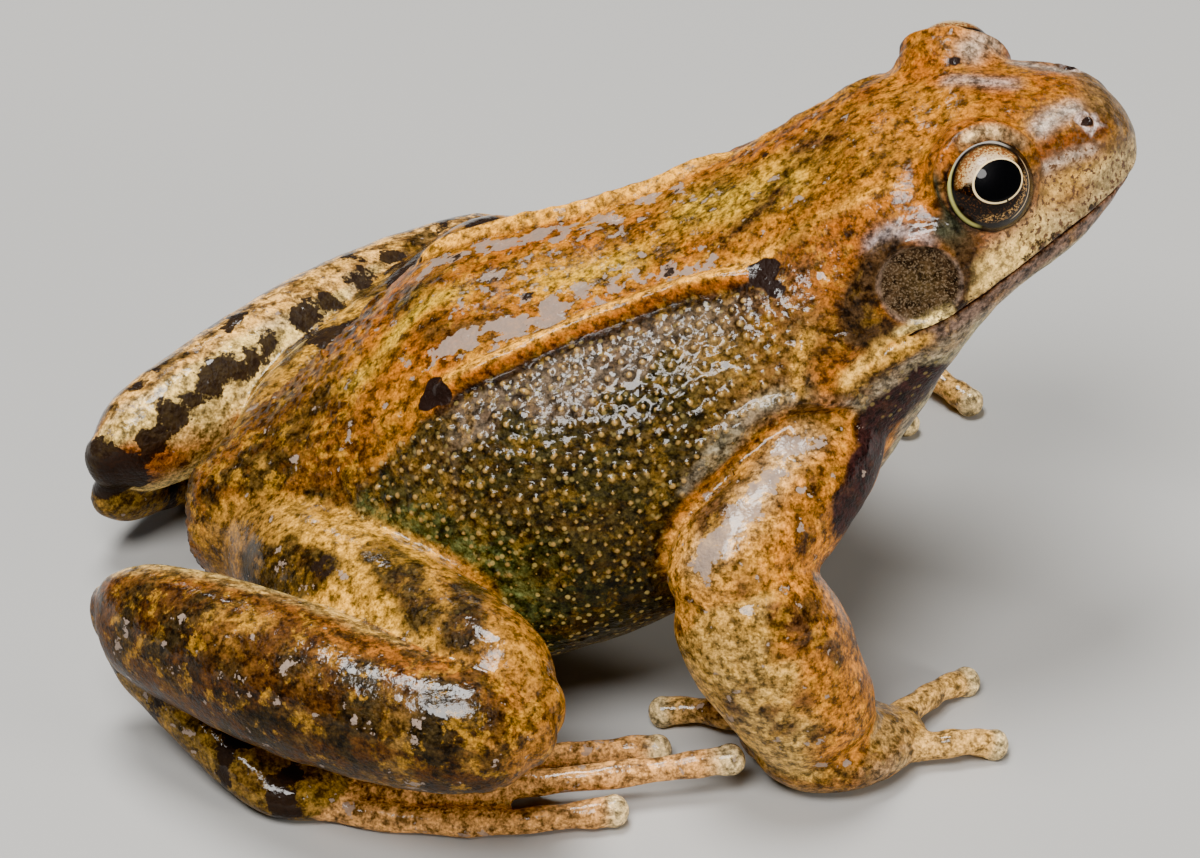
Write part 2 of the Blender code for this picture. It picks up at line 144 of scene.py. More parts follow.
# From the vent to the snout: top x, z, bottom x, z, half width, how far down the widest point lies,
# and how square the upper and lower halves are (2 is round).
BODY = (
    (-0.6, 12.4, -0.6, 10.4, 1.2, 0.5, 2.0, 2.0),
    (0.2, 14.4, -0.1, 7.6, 3.4, 0.5, 2.0, 2.0),
    (3.2, 17.0, 3.2, 4.8, 6.6, 0.55, 2.0, 2.1),
    (8.4, 21.0, 9.0, 2.8, 10.4, 0.58, 2.0, 2.3),
    (13.4, 25.4, 15.6, 2.0, 13.8, 0.60, 2.1, 2.3),
    (18.0, 28.6, 22.2, 2.4, 16.2, 0.60, 2.3, 2.3),
    (24.6, 30.6, 29.2, 4.4, 17.2, 0.60, 2.4, 2.2),
    (31.4, 32.6, 36.0, 7.0, 16.6, 0.58, 2.4, 2.2),
    (38.0, 35.5, 42.2, 9.4, 14.8, 0.55, 2.4, 2.1),
    (44.0, 39.1, 47.6, 13.0, 12.8, 0.52, 2.5, 2.0),
    (48.2, 41.7, 51.2, 18.0, 12.0, 0.45, 2.4, 2.0),
    (51.4, 42.7, 53.2, 23.4, 11.9, 0.49, 2.3, 2.1),
    (54.4, 43.9, 55.7, 28.2, 11.0, 0.60, 2.2, 2.1),
    (57.4, 44.2, 58.4, 31.1, 9.6, 0.66, 2.1, 2.1),
    (60.4, 44.2, 61.3, 32.6, 7.9, 0.66, 2.1, 2.1),
    (62.8, 43.9, 63.5, 34.2, 6.2, 0.69, 2.2, 2.1),
    (65.0, 42.9, 65.4, 35.8, 4.4, 0.71, 2.3, 2.1),
    (66.5, 41.4, 66.7, 37.2, 2.5, 0.68, 2.2, 2.1),
    (67.2, 40.0, 67.2, 38.8, 0.8, 0.5, 2.0, 2.0),
)
# Limbs: centre line x, y, z, then half thickness across and along the limb's "up" direction.
THIGH = {
    "right": ((5.0, -3.6, 11.2, 3.6, 4.2), (8.2, -9.0, 11.6, 5.0, 5.8), (12.4, -15.0, 12.4, 5.2, 6.0),
              (16.8, -20.8, 13.2, 5.0, 5.6), (20.2, -25.0, 13.4, 4.2, 5.0), (22.2, -27.4, 13.0, 2.4, 3.0)),
    "left": ((5.0, 3.6, 11.2, 3.6, 4.2), (9.0, 9.5, 11.4, 4.8, 5.4), (14.4, 15.5, 12.0, 5.0, 5.4),
             (19.6, 21.4, 12.8, 4.6, 5.0), (23.8, 26.0, 13.6, 3.6, 4.2), (26.0, 28.2, 13.8, 2.0, 2.6)),
}
SHANK = {
    "right": ((21.6, -28.8, 12.6, 2.4, 3.0), (19.0, -28.4, 12.4, 4.2, 4.4), (13.2, -25.6, 12.0, 5.0, 5.1),
              (6.2, -20.8, 11.8, 5.3, 5.5), (-0.4, -15.2, 11.2, 4.6, 5.2), (-4.6, -11.4, 10.4, 3.4, 4.4),
              (-6.4, -9.8, 9.8, 1.6, 2.6)),
    "left": ((25.2, 30.4, 13.0, 1.6, 2.0), (22.6, 29.2, 12.6, 2.9, 3.2), (16.4, 25.2, 12.2, 4.0, 4.3),
             (8.6, 19.4, 11.6, 4.7, 5.0), (1.2, 14.0, 10.7, 4.3, 4.8), (-3.8, 10.6, 10.0, 3.4, 4.1),
             (-6.2, 9.2, 9.4, 1.7, 2.4)),
}
TARSUS = {
    "right": ((-5.8, -9.6, 7.2, 1.4, 1.8), (-4.2, -11.0, 6.2, 2.1, 2.4), (-1.2, -14.4, 4.5, 2.2, 2.4),
              (2.0, -18.0, 2.8, 2.3, 2.2), (5.0, -20.2, 1.9, 2.8, 2.0), (8.0, -20.6, 1.6, 2.6, 1.7)),
    "left": ((-6.2, 9.6, 6.2, 1.4, 1.8), (-4.6, 11.4, 5.2, 2.1, 2.4), (-1.6, 15.0, 3.6, 2.2, 2.4),
             (2.0, 18.4, 2.2, 2.3, 2.2), (5.6, 20.4, 1.9, 2.8, 2.0), (8.6, 20.8, 1.6, 2.6, 1.7)),
}
UPPER_ARM = {
    "right": ((45.6, -7.6, 22.6, 3.0, 3.4), (44.4, -10.6, 21.8, 4.2, 4.4), (41.4, -14.4, 20.4, 4.6, 4.7),
              (38.0, -17.8, 18.6, 4.7, 4.8), (36.0, -19.8, 16.8, 4.2, 4.4), (35.2, -20.8, 15.4, 2.6, 2.8)),
    "left": ((45.6, 7.6, 22.6, 3.0, 3.4), (44.8, 10.8, 21.6, 4.0, 4.2), (43.2, 15.2, 19.8, 4.2, 4.4),
             (41.4, 19.4, 17.6, 4.1, 4.3), (40.2, 22.2, 15.6, 3.6, 4.0), (39.6, 23.6, 14.2, 2.0, 2.4)),
}
FOREARM = {
    "right": ((36.2, -19.8, 18.0, 3.0, 3.2), (37.2, -20.2, 16.0, 4.9, 5.2), (39.2, -20.6, 12.4, 5.4, 5.8),
              (41.0, -20.8, 8.8, 5.1, 5.3), (42.6, -20.6, 5.6, 4.5, 4.8), (43.8, -20.4, 3.6, 3.0, 3.8)),
    "left": ((39.8, 23.0, 16.2, 2.4, 2.6), (41.2, 24.0, 14.2, 4.0, 4.2), (44.2, 26.0, 10.8, 4.4, 4.6),
             (47.2, 27.6, 7.6, 4.0, 4.4), (49.6, 28.6, 4.8, 3.5, 3.9), (51.0, 29.0, 3.2, 2.4, 3.0)),
}
PALM = {
    "right": ((39.4, -18.4, 2.6, 2.2, 2.0), (41.6, -19.6, 3.0, 4.2, 3.3), (44.8, -19.8, 2.6, 4.5, 3.0),
              (47.8, -18.8, 2.0, 3.4, 2.1), (49.6, -18.0, 1.6, 2.0, 1.4)),
    "left": ((46.6, 27.4, 2.4, 2.2, 1.8), (48.8, 28.6, 2.8, 3.8, 3.0), (51.6, 29.0, 2.4, 4.0, 2.7),
             (54.2, 28.4, 1.9, 3.0, 2.0), (55.8, 27.6, 1.6, 1.8, 1.4)),
}
# Fingers from the thumb outwards, and toes from the inner toe: the centre line of each.
FINGERS = {
    "right": (((41.6, -17.4, 1.8), (38.2, -15.4, 2.0), (34.8, -13.9, 1.6), (32.6, -13.5, 1.3)),
              ((43.6, -17.6, 1.8), (43.2, -13.6, 1.8), (43.0, -10.6, 1.2)),
              ((47.2, -18.2, 1.9), (50.4, -15.6, 2.0), (53.0, -13.2, 1.7), (54.8, -12.0, 1.2)),
              ((47.6, -19.4, 1.8), (51.0, -19.8, 1.8), (54.0, -19.6, 1.8), (55.8, -19.4, 1.2))),
    "left": (((48.6, 26.6, 1.7), (46.0, 23.6, 1.8), (43.8, 21.2, 1.3)),
             ((51.0, 26.6, 1.7), (51.2, 22.8, 1.6), (51.4, 19.8, 1.2)),
             ((53.2, 27.2, 1.8), (54.4, 24.2, 1.7), (54.8, 21.8, 1.6), (54.9, 20.0, 1.2)),
             ((54.6, 28.0, 1.8), (57.2, 25.8, 1.8), (59.0, 23.6, 1.6), (60.2, 22.2, 1.2))),
}
TOES = {
    "right": (((7.0, -19.0, 1.5), (11.0, -17.4, 1.4), (14.6, -16.4, 1.2)),
              ((7.2, -19.6, 1.5), (13.0, -18.0, 1.5), (18.0, -17.0, 1.3), (21.4, -16.6, 1.2)),
              ((7.6, -20.0, 1.6), (15.0, -19.4, 1.7), (23.0, -18.6, 1.8), (29.4, -17.8, 1.5),
               (31.8, -17.8, 1.3)),
              ((8.0, -20.8, 1.6), (16.0, -21.6, 2.0), (25.0, -22.0, 2.6), (33.0, -21.8, 3.0),
               (36.6, -21.6, 3.2)),
              ((7.4, -21.4, 1.5), (13.0, -23.6, 1.4), (20.0, -24.8, 1.4), (26.0, -24.6, 1.5),
               (28.0, -24.4, 1.4))),
    "left": (((7.6, 19.2, 1.5), (11.6, 17.8, 1.4), (15.2, 17.0, 1.2)),
             ((7.8, 19.8, 1.5), (13.6, 18.8, 1.5), (18.8, 18.4, 1.3), (22.2, 18.2, 1.2)),
             ((8.2, 20.2, 1.6), (15.6, 20.6, 1.6), (23.4, 21.2, 1.5), (30.4, 21.4, 1.3), (32.4, 21.4, 1.2)),
             ((8.6, 20.8, 1.6), (16.6, 22.6, 1.6), (25.6, 24.6, 1.6), (34.0, 26.0, 1.5), (38.2, 26.6, 1.3)),
             ((8.0, 21.4, 1.5), (13.6, 24.2, 1.4), (20.6, 27.2, 1.4), (26.6, 29.2, 1.3),
              (29.4, 30.0, 1.2))),
}
DIGIT_RADII = (1.25, 1.05, 0.95, 1.15)          # from base to tip
DIGIT_SINK = 0.3                                # the soles and finger pads are pressed flat on the table
WEB_START, WEB_REACH, WEB_EDGE = 0.04, 0.52, 0.8
WEB_THICKNESS = 0.6
WEB_DROP = 0.35


def follow(rows, places):
    """Rows of numbers at places from 0 to 1 along a table, on a smooth curve through its rows."""
    rows = np.asarray(rows, float)
    span = np.clip(np.asarray(places, float), 0, 1) * (len(rows) - 1)
    index = np.minimum(span.astype(int), len(rows) - 2)
    t = (span - index)[..., None]
    a, b = rows[np.maximum(index - 1, 0)], rows[index]
    c, d = rows[index + 1], rows[np.minimum(index + 2, len(rows) - 1)]
    square, cube = 2 * a - 5 * b + 4 * c - d, 3 * b - a - 3 * c + d
    return 0.5 * (2 * b + (c - a) * t + square * t ** 2 + cube * t ** 3)


def roll(rings):
    """Points and faces of a closed form through rings of equally many points."""
    count, around = rings.shape[:2]
    first = (np.arange(count - 1)[:, None] * around + np.arange(around)).ravel()
    turned = (np.arange(count - 1)[:, None] * around + (np.arange(around) + 1) % around).ravel()
    faces = np.stack((first, turned, turned + around, first + around), -1).tolist()
    faces.append(list(range(around))[::-1])
    faces.append(list(range((count - 1) * around, count * around)))
    return rings.reshape(-1, 3), faces


def body_form(places, around):
    """The trunk and head, through rings of a squared-off oval at places from 0 to 1 along the body."""
    turns = np.linspace(0, 2 * math.pi, around, endpoint=False)
    rings = []
    for tx, tz, bx, bz, half, widest, upper, lower in follow(BODY, places):
        top, bottom = np.array((tx, 0, tz)), np.array((bx, 0, bz))
        height = np.linalg.norm(top - bottom)
        up = (top - bottom) / height
        square = np.where(np.sin(turns) >= 0, 2 / upper, 2 / lower)
        reach = np.where(np.sin(turns) >= 0, height * widest, height * (1 - widest))
        side = half * np.sign(np.cos(turns)) * np.abs(np.cos(turns)) ** square
        lift = reach * np.sign(np.sin(turns)) * np.abs(np.sin(turns)) ** square
        centre = top - up * height * widest
        rings.append(centre + side[:, None] * np.array((0, 1, 0)) + lift[:, None] * up)
    return roll(np.array(rings))


def limb_form(rows, up, around=40, steps=44):
    """A rounded limb, with half a ball at each end."""
    line = follow(rows, np.linspace(0, 1, steps))
    centres, sizes = line[:, :3], line[:, 3:]
    heading = np.gradient(centres, axis=0)
    heading /= np.linalg.norm(heading, axis=1)[:, None]
    bends = np.radians((0, 25, 50, 70, 85))
    for end, sense in ((0, -1), (-1, 1)):
        reach = sizes[end].min() * 0.9
        tip = centres[end] + heading[end] * sense * reach * np.sin(bends[1:, None])
        slim = sizes[end] * np.cos(bends[1:, None])
        same = np.repeat(heading[end][None], len(tip), 0)
        if end == 0:
            centres, sizes = np.vstack((tip[::-1], centres)), np.vstack((slim[::-1], sizes))
            heading = np.vstack((same, heading))
        else:
            centres, sizes = np.vstack((centres, tip)), np.vstack((sizes, slim))
            heading = np.vstack((heading, same))
    side = np.cross(heading, np.asarray(up, float))
    side /= np.linalg.norm(side, axis=1)[:, None]
    over = np.cross(side, heading)
    turns = np.linspace(0, 2 * math.pi, around, endpoint=False)[None, :, None]
    rings = (centres[:, None] + side[:, None] * sizes[:, 0, None, None] * np.cos(turns)
             - over[:, None] * sizes[:, 1, None, None] * np.sin(turns))
    return roll(rings)


def digit_rows(points):
    """The centre line of a finger or toe with its thickness, thinner between the joints."""
    places = np.linspace(0, 1, 4 * len(points))
    centres = follow(points, places)
    centres[:, 2] -= DIGIT_SINK
    thick = follow([[r] for r in DIGIT_RADII], places)[:, 0]
    thick += 0.07 * np.cos(places * 2 * math.pi * len(points))
    return np.column_stack((centres, thick, thick))


def web_form(toes):
    """The web under the five toes of a foot, a thin plate whose edge is drawn in between them."""
    steps = 14
    columns = []
    for n, toe in enumerate(toes):
        column = follow(toe, WEB_START + WEB_REACH * np.linspace(0, 1, steps))
        if n:
            before = columns[-1]
            for share in (0.25, 0.5, 0.75):
                mixed = before * (1 - share) + column * share
                drawn_in = 1 - (1 - WEB_EDGE) * math.sin(math.pi * share)
                columns.append(mixed[0] + (mixed - mixed[0]) * drawn_in)
        columns.append(column)
    sheet = np.array(columns) - np.array((0, 0, WEB_DROP))
    across, along = sheet.shape[:2]
    half = np.array((0, 0, WEB_THICKNESS / 2))
    points = np.concatenate(((sheet + half).reshape(-1, 3), (sheet - half).reshape(-1, 3)))
    faces, count = [], across * along
    for c in range(across - 1):
        for k in range(along - 1):
            near = c * along + k
            square = (near, near + along, near + along + 1, near + 1)
            faces += [list(square), [v + count for v in reversed(square)]]
    rim = [(c * along) for c in range(across)] + [(across - 1) * along + k for k in range(1, along)]
    rim += [c * along + along - 1 for c in range(across - 2, -1, -1)] + list(range(along - 2, 0, -1))
    for here, then in zip(rim, rim[1:] + rim[:1]):
        faces.append([then, here, here + count, then + count])
    return points, faces


EYE = {"right": np.array((55.3, -7.35, 40.9)), "left": np.array((55.3, 7.35, 40.9))}
EYE_RADIUS = 3.45
LID_CENTRE, LID_RADIUS = np.array((55.2, -6.8, 41.2)), 4.05


def ball_form(centre, radius):
    """The bulge of the lids round an eye."""
    ball = bmesh.new()
    bmesh.ops.create_uvsphere(ball, u_segments=48, v_segments=24, radius=radius)
    points = np.array([v.co[:] for v in ball.verts]) + centre
    faces = [[v.index for v in f.verts] for f in ball.faces]
    ball.free()
    return points, faces


def worked(changed):
    """The mesh of an object once its modifiers are worked out."""
    bpy.context.view_layer.update()
    return bpy.data.meshes.new_from_object(changed.evaluated_get(bpy.context.evaluated_depsgraph_get()))


def read(things, name, width=3, kind=float):
    """One of Blender's values for each of many things, as rows of numbers."""
    values = np.empty(len(things) * width, kind)
    things.foreach_get(name, values)
    return values.reshape(-1, width)


forms = [body_form(np.linspace(0, 1, 180), 150)]
for side, mirror in SIDES.items():
    forms.append(ball_form(LID_CENTRE * mirror, LID_RADIUS))
    for rows in (THIGH, SHANK, TARSUS, PALM, UPPER_ARM, FOREARM):
        forms.append(limb_form(rows[side], (1, 0, 0.3) if rows is FOREARM else (0, 0, 1)))
    for points in FINGERS[side] + TOES[side]:
        forms.append(limb_form(digit_rows(points), (0, 0, 1), around=18, steps=30))
    forms.append(web_form(TOES[side]))

all_points, all_faces, start = [], [], 0
for points, faces in forms:
    all_points.append(points)
    all_faces += [[v + start for v in face] for face in faces]
    start += len(points)
core = bpy.data.meshes.new("core")
core.from_pydata(((np.concatenate(all_points) - ORIGIN) * MM).tolist(), [], all_faces)
core_object = put("core", core)
joined = core_object.modifiers.new("one skin", "REMESH")
joined.mode = "VOXEL"
joined.voxel_size = GRAIN * MM
skin = worked(core_object)
bpy.data.objects.remove(core_object)

place = read(skin.vertices, "co") / MM + ORIGIN
edge_a, edge_b = read(skin.edges, "vertices", 2, int).T
quads = read(skin.loops, "vertex_index", 1, int).reshape(-1, 4)
count = len(place)
neighbours = np.bincount(edge_a, minlength=count) + np.bincount(edge_b, minlength=count)


def facing():
    """The outward direction of the skin at each point."""
    across = np.cross(place[quads[:, 2]] - place[quads[:, 0]], place[quads[:, 3]] - place[quads[:, 1]])
    total = np.zeros_like(place)
    for axis in range(3):
        for corner in range(4):
            total[:, axis] += np.bincount(quads[:, corner], across[:, axis], count)
    return total / np.maximum(np.linalg.norm(total, axis=1), 1e-9)[:, None]


def pull():
    """From each point to the middle of its neighbours."""
    middle = np.empty_like(place)
    for axis, values in enumerate(place.T):
        middle[:, axis] = np.bincount(edge_a, values[edge_b], count)
        middle[:, axis] += np.bincount(edge_b, values[edge_a], count)
    return middle / neighbours[:, None] - place


def ramp(values, low, high):
    """0 up to the low limit, 1 from the high one, and smooth between."""
    t = np.clip((values - low) / (high - low), 0, 1)
    return t * t * (3 - 2 * t)


def fade(values, low, high):
    """The other way about: 1 up to the low limit and 0 from the high one."""
    return 1 - ramp(values, low, high)


def bell(values, middle, width):
    """1 at the middle, falling off to both sides over a width."""
    return np.exp(-((values - middle) / width) ** 2)


def far(points, centre):
    """How far points lie from a centre."""
    return np.linalg.norm(points - centre, axis=1)


# Where limbs meet the body the skin is drawn over the crease: centre, radius, how many times it is filled.
SOFT_JOINTS = (
    ((43.0, -13.0, 21.5), 8, 26), ((43.5, 13.5, 21.0), 8, 26),
    ((10.0, -9.0, 12.0), 9, 26), ((10.0, 9.0, 12.0), 9, 26),
    ((37.0, -19.5, 16.5), 6, 30), ((40.5, 23.0, 15.5), 6, 30),
    ((43.5, -19.5, 3.0), 6, 30), ((51.0, 28.0, 3.0), 6, 30),
    ((-5.0, -10.5, 8.0), 4, 20), ((-5.0, 10.5, 7.5), 4, 20),
    ((7.0, -20.2, 1.8), 5, 24), ((7.5, 20.5, 1.8), 5, 24),
    ((55.3, -7.0, 41.0), 6.5, 30), ((55.3, 7.0, 41.0), 6.5, 30),
)
FILL_STEPS = round(27 * 0.25 / GRAIN)
softness = np.full(count, 5.0)
for centre, radius, times in SOFT_JOINTS:
    away = far(place, centre)
    softness = np.maximum(softness, times * fade(away, radius * 0.6, radius))
for step in range(3):
    place += pull() * 0.5
for step in range(FILL_STEPS):
    outward = facing()
    hollow = np.maximum((pull() * outward).sum(1), 0)
    place += outward * (hollow * 0.7 * (step < softness * 0.25 / GRAIN))[:, None]
for step in range(4):
    place += pull() * 0.4


# ==== Lids and eye openings =====================================================================
# Thick lids of soft skin lie round each bulging eyeball. The opening is nearly round; the upper lid
# ends in a rolled rim with a crease above it, the lower one is thin, with a fold of slack skin behind.

OPENING_FACING = np.array((0.205, -0.85, 0.485)) / np.linalg.norm((0.205, -0.85, 0.485))
OPENING_SPREAD = np.radians((67, 65))           # half its width and height, seen from the eye's centre


def eye_frame(facing_right, mirror):
    """The way an eye or its opening faces, with the directions towards the snout and up across it."""
    out = facing_right * mirror
    fore = np.array((1.0, 0, 0)) - out * out[0]
    fore /= np.linalg.norm(fore)
    return out, fore, np.cross(facing_right, fore * mirror) * mirror


def round_the_eye(points, side):
    """From an eye's centre to points: the direction and distance, which way round the opening they lie
    (ahead and above its middle, from -1 to 1), and how far outside its rim, in millimetres."""
    out, fore, upward = eye_frame(OPENING_FACING, SIDES[side])
    ray = points - EYE[side]
    reach = np.linalg.norm(ray, axis=1)
    ray /= reach[:, None]
    ahead, above = ray @ fore, ray @ upward
    flat = np.maximum(np.hypot(ahead, above), 1e-6)
    ahead, above = ahead / flat, above / flat
    spread = np.arccos(np.clip(ray @ out, -1, 1))
    spread *= np.hypot(ahead / OPENING_SPREAD[0], above / OPENING_SPREAD[1])
    return ray, reach, ahead, above, (spread - 1) * 1.15 * EYE_RADIUS


for side in SIDES:
    near = np.flatnonzero(far(place, EYE[side]) < 7)
    ray, reach, ahead, above, outside = round_the_eye(place[near], side)
    upper, rear, lower = ramp(above, -0.3, 0.5), ramp(-ahead, 0.1, 0.9), ramp(-above, -0.2, 0.7)
    rim = EYE_RADIUS + 1.5 * outside + 3 * np.maximum(outside - 0.6, 0) ** 2
    rim = np.maximum(rim, EYE_RADIUS - 0.5)
    blend = np.clip(0.5 + (rim - reach) / 0.3, 0, 1)
    lidded = rim * (1 - blend) + reach * blend - 0.15 * blend * (1 - blend)
    lidded += (0.07 + 0.13 * upper) * bell(outside, 0.5, 0.28) * (outside > 0)
    lidded -= (0.05 + 0.04 * upper) * bell(outside, 1.15, 0.22)
    lidded += 0.07 * bell(outside, 1.65, 0.3)
    lidded -= 0.30 * rear * lower * bell(outside, 0.55, 0.35)
    lidded -= 0.14 * lower * bell(outside, 0.95, 0.18)
    share = fade(outside, 1.8, 2.5) * fade(reach, 5.2, 6.4)
    place[near] = EYE[side] + ray * (reach + (lidded - reach) * share)[:, None]


# ==== Folds, ears, mouth and nostrils ===========================================================
# A pair of raised glandular folds runs down the back, and another folds over each ear disc. The ear
# disc is thin skin stretched on a ring, and the mouth is a tight line under an overhanging upper lip.

def boxed(points, line, reach):
    """The numbers of the points that lie in the box round a line, drawn out by a reach."""
    return np.flatnonzero(((points > line.min(0) - reach) & (points < line.max(0) + reach)).all(1))


def nearest(points):
    """The numbers of the skin's points that lie nearest to the given ones."""
    box = boxed(place, points, 3.0)
    found = [box[np.argmin(((place[box] - point) ** 2).sum(1))] for point in points]
    return np.array(found)


def skin_point(spot, mirror):
    """The skin's point nearest to a spot, on the side that the mirror gives."""
    return place[nearest(np.array([spot]) * mirror)[0]]


def laid(points, mirror):
    """A smooth line through points, laid on the skin."""
    points = np.array(points) * mirror
    line = follow(points, np.linspace(0, 1, 10 * len(points)))
    line = place[nearest(line)]
    for step in range(3):
        line[1:-1] = (line[:-2] + 2 * line[1:-1] + line[2:]) / 4
    return line


def along(line, points):
    """How far points lie from a line, where along it (0 to 1), and the nearest places on it."""
    starts, spans = line[:-1], line[1:] - line[:-1]
    square = np.maximum((spans ** 2).sum(1), 1e-9)
    best = np.full(len(points), np.inf)
    where = np.zeros(len(points))
    spot = np.zeros_like(points)
    for k in range(len(spans)):
        t = np.clip((points - starts[k]) @ spans[k] / square[k], 0, 1)
        at = starts[k] + t[:, None] * spans[k]
        away = far(points, at)
        closer = away < best
        best[closer], where[closer], spot[closer] = away[closer], (k + t[closer]) / len(spans), at[closer]
    return best, where, spot


def ridge(points, height, width, mirror, taper):
    """Raises the skin along a line, or with a negative height cuts a groove."""
    line = laid(points, mirror)
    near = boxed(place, line, 3 * width)
    away, where, _ = along(line, place[near])
    ends = ramp(where, 0, taper) * ramp(1 - where, 0, taper)
    place[near] += outward[near] * (height * ends * bell(away, 0, width))[:, None]


def swell(centre, radius, height, mirror):
    """A smooth round swelling, or with a negative height a dent."""
    middle = skin_point(centre, mirror)
    near = np.flatnonzero((np.abs(place - middle) < radius).all(1))
    away = far(place[near], middle) / radius
    place[near] += outward[near] * (height * np.clip(1 - away ** 2, 0, 1) ** 2)[:, None]


BACK_FOLD = ((16.7, -7.6, 26.4), (18.1, -8.1, 27.1), (21.7, -7.8, 28.6), (25.9, -7.1, 30.1),
             (30.2, -6.6, 31.5), (34.4, -6.5, 33.0), (37.8, -7.2, 34.2), (40.2, -7.2, 35.4))
FORE_FOLD = ((40.2, -7.2, 35.4), (42.7, -6.6, 37.1), (45.4, -6.7, 38.7), (48.2, -6.9, 40.3),
             (50.5, -7.6, 41.0))
REAR_FOLD = ((12.6, -7.1, 22.8), (13.6, -7.4, 23.6), (14.8, -7.6, 24.6))
EAR_FOLD = ((52.6, -9.6, 39.2), (51.2, -10.4, 39.0), (49.4, -10.2, 38.6), (47.6, -10.0, 37.2),
            (46.7, -10.6, 35.2), (46.6, -11.6, 33.2), (46.9, -12.0, 31.8))
LIP_GLAND = ((51.0, -12.0, 31.4), (49.4, -12.2, 30.5), (48.0, -12.2, 29.8), (46.8, -12.3, 29.2))
SHOULDER_GLAND = ((42.7, -12.0, 32.2), (42.2, -12.4, 31.2), (41.8, -12.9, 29.8), (42.0, -13.4, 28.5))
CANTHUS = ((59.0, -6.4, 42.7), (60.9, -4.9, 43.1), (62.6, -4.1, 43.2), (64.4, -3.0, 42.7),
           (65.9, -2.4, 41.3))
ARM_FOLD = ((33.8, -16.2, 22.8), (36.3, -14.9, 25.5), (38.8, -14.2, 27.3), (41.0, -13.6, 28.0),
            (44.5, -13.0, 27.3), (46.8, -12.5, 26.8))
ARM_CREASE = ((46.4, -12.7, 26.0), (44.9, -13.2, 26.1), (42.0, -13.7, 26.5), (39.5, -14.4, 25.4),
              (37.0, -15.5, 23.8), (35.2, -16.4, 21.8), (33.8, -17.2, 19.4))
SHOULDER_WRINKLES = (
    ((31.7, -15.4, 25.0), (35.0, -14.1, 27.6), (38.2, -13.3, 29.4)),
    ((30.8, -14.4, 26.9), (34.4, -13.1, 29.1), (37.6, -12.3, 30.4)),
    ((32.7, -16.0, 23.6), (36.3, -14.3, 26.4), (39.9, -13.6, 28.6)),
    ((34.6, -11.8, 30.4), (37.0, -11.6, 31.2), (40.0, -11.2, 32.2)),
)
# Line, height of the ridge (or depth of the groove), half its width, and the share that tapers at its ends.
RIDGES = (
    (BACK_FOLD, 0.85, 0.68, 0.2), (np.array(BACK_FOLD) + (0, -0.7, -0.7), -0.18, 0.45, 0.2),
    (FORE_FOLD, 0.22, 0.7, 0.2), (REAR_FOLD, 0.3, 0.5, 0.3), (EAR_FOLD, 0.5, 0.62, 0.12),
    (LIP_GLAND, 0.5, 0.7, 0.3), (SHOULDER_GLAND, 0.45, 0.6, 0.3), (CANTHUS, 0.25, 0.7, 0.2),
    (ARM_FOLD, 0.5, 0.5, 0.25), *((line, 0.2, 0.3, 0.3) for line in SHOULDER_WRINKLES))
EAR, EAR_RADIUS = np.array((50.4, -11.4, 35.6)), 2.85
NOSTRIL, NOSTRIL_RING = np.array((62.7, -3.4, 43.3)), 0.72

outward = facing()
for side, mirror in SIDES.items():
    for line, height, width, taper in RIDGES:
        ridge(line, height, width, mirror, taper)
    if side == "right":
        ridge(ARM_CREASE, -0.5, 0.42, mirror, 0.15)
    swell((45.4, -12.2, 31.4), 1.6, 0.45, mirror)
    swell((60.3, -7.3, 40.0), 2.6, -0.4, mirror)
    swell((37.0, -15.4, 2.4), 2.2, 0.5, mirror if side == "right" else np.array((1.25, -1.5, 1)))

    ear = skin_point(EAR, mirror)
    near = np.flatnonzero(far(place, ear) < EAR_RADIUS + 2)
    lie = outward[near][far(place[near], ear) < EAR_RADIUS * 0.8].mean(0)
    lie /= np.linalg.norm(lie)
    offset = place[near] - ear
    height = offset @ lie
    away = far(offset, height[:, None] * lie)
    inside = fade(away, EAR_RADIUS - 0.25, EAR_RADIUS + 0.05)
    disc = -0.4 + 0.12 * bell(away, 0, 0.9) - 0.06 * bell(away, 1.7, 0.7)
    rise = (disc - height * 0.6) * inside + 0.18 * bell(away - EAR_RADIUS, 0.25, 0.25)
    place[near] += rise[:, None] * lie

    hole = skin_point(NOSTRIL, mirror)
    near = np.flatnonzero(far(place, hole) < 1.4)
    away = far(place[near], hole)
    rise = 0.12 * bell(away, NOSTRIL_RING, 0.2) - 0.7 * fade(away, 0.2, 0.62)
    place[near] += outward[near] * rise[:, None]

# The mouth: the height of its line over the length of the head.
LIP_X = (46.6, 48.4, 50.1, 52.2, 54.6, 57.2, 59.8, 62.4, 65.0, 68.0)
LIP_Z = (29.9, 31.1, 31.8, 32.9, 34.0, 35.2, 36.2, 37.2, 37.8, 38.3)
LIP_SLOPE = 0.92                                # turns a height into a distance across the slanting lip
lip = np.interp(place[:, 0], LIP_X, LIP_Z)
from_lip = (place[:, 2] - lip) * LIP_SLOPE
on_face = ramp(place[:, 0], 47.2, 48.6) * (np.abs(outward[:, 2]) < 0.97)
rise = 0.14 * bell(from_lip, 0.6, 0.4) - 0.4 * bell(from_lip, 0, 0.2)
rise -= 0.16 * bell(from_lip, -0.7, 0.5)
place += outward * (rise * on_face)[:, None]


# ==== Warts, granules and wrinkles ==============================================================
# The flanks are set with small round warts, the rear of the back and the seat with finer granules,
# and the back with low flat ones. The wrinkles before the shoulder are raised with the folds above.

LATTICE = np.random.default_rng(5).uniform(-1, 1, (64, 64, 64))


def uneven(points, size, shift=0.0):
    """Smooth random values from -1 to 1, in lumps of about the given size."""
    at = points / size + shift
    cell = np.floor(at).astype(int)
    t = at - cell
    t = t * t * (3 - 2 * t)
    total = np.zeros(len(points))
    for corner in np.ndindex(2, 2, 2):
        knot = (cell + corner) % 64
        weight = np.prod(np.where(corner, t, 1 - t), axis=1)
        total += LATTICE[tuple(knot.T)] * weight
    return total


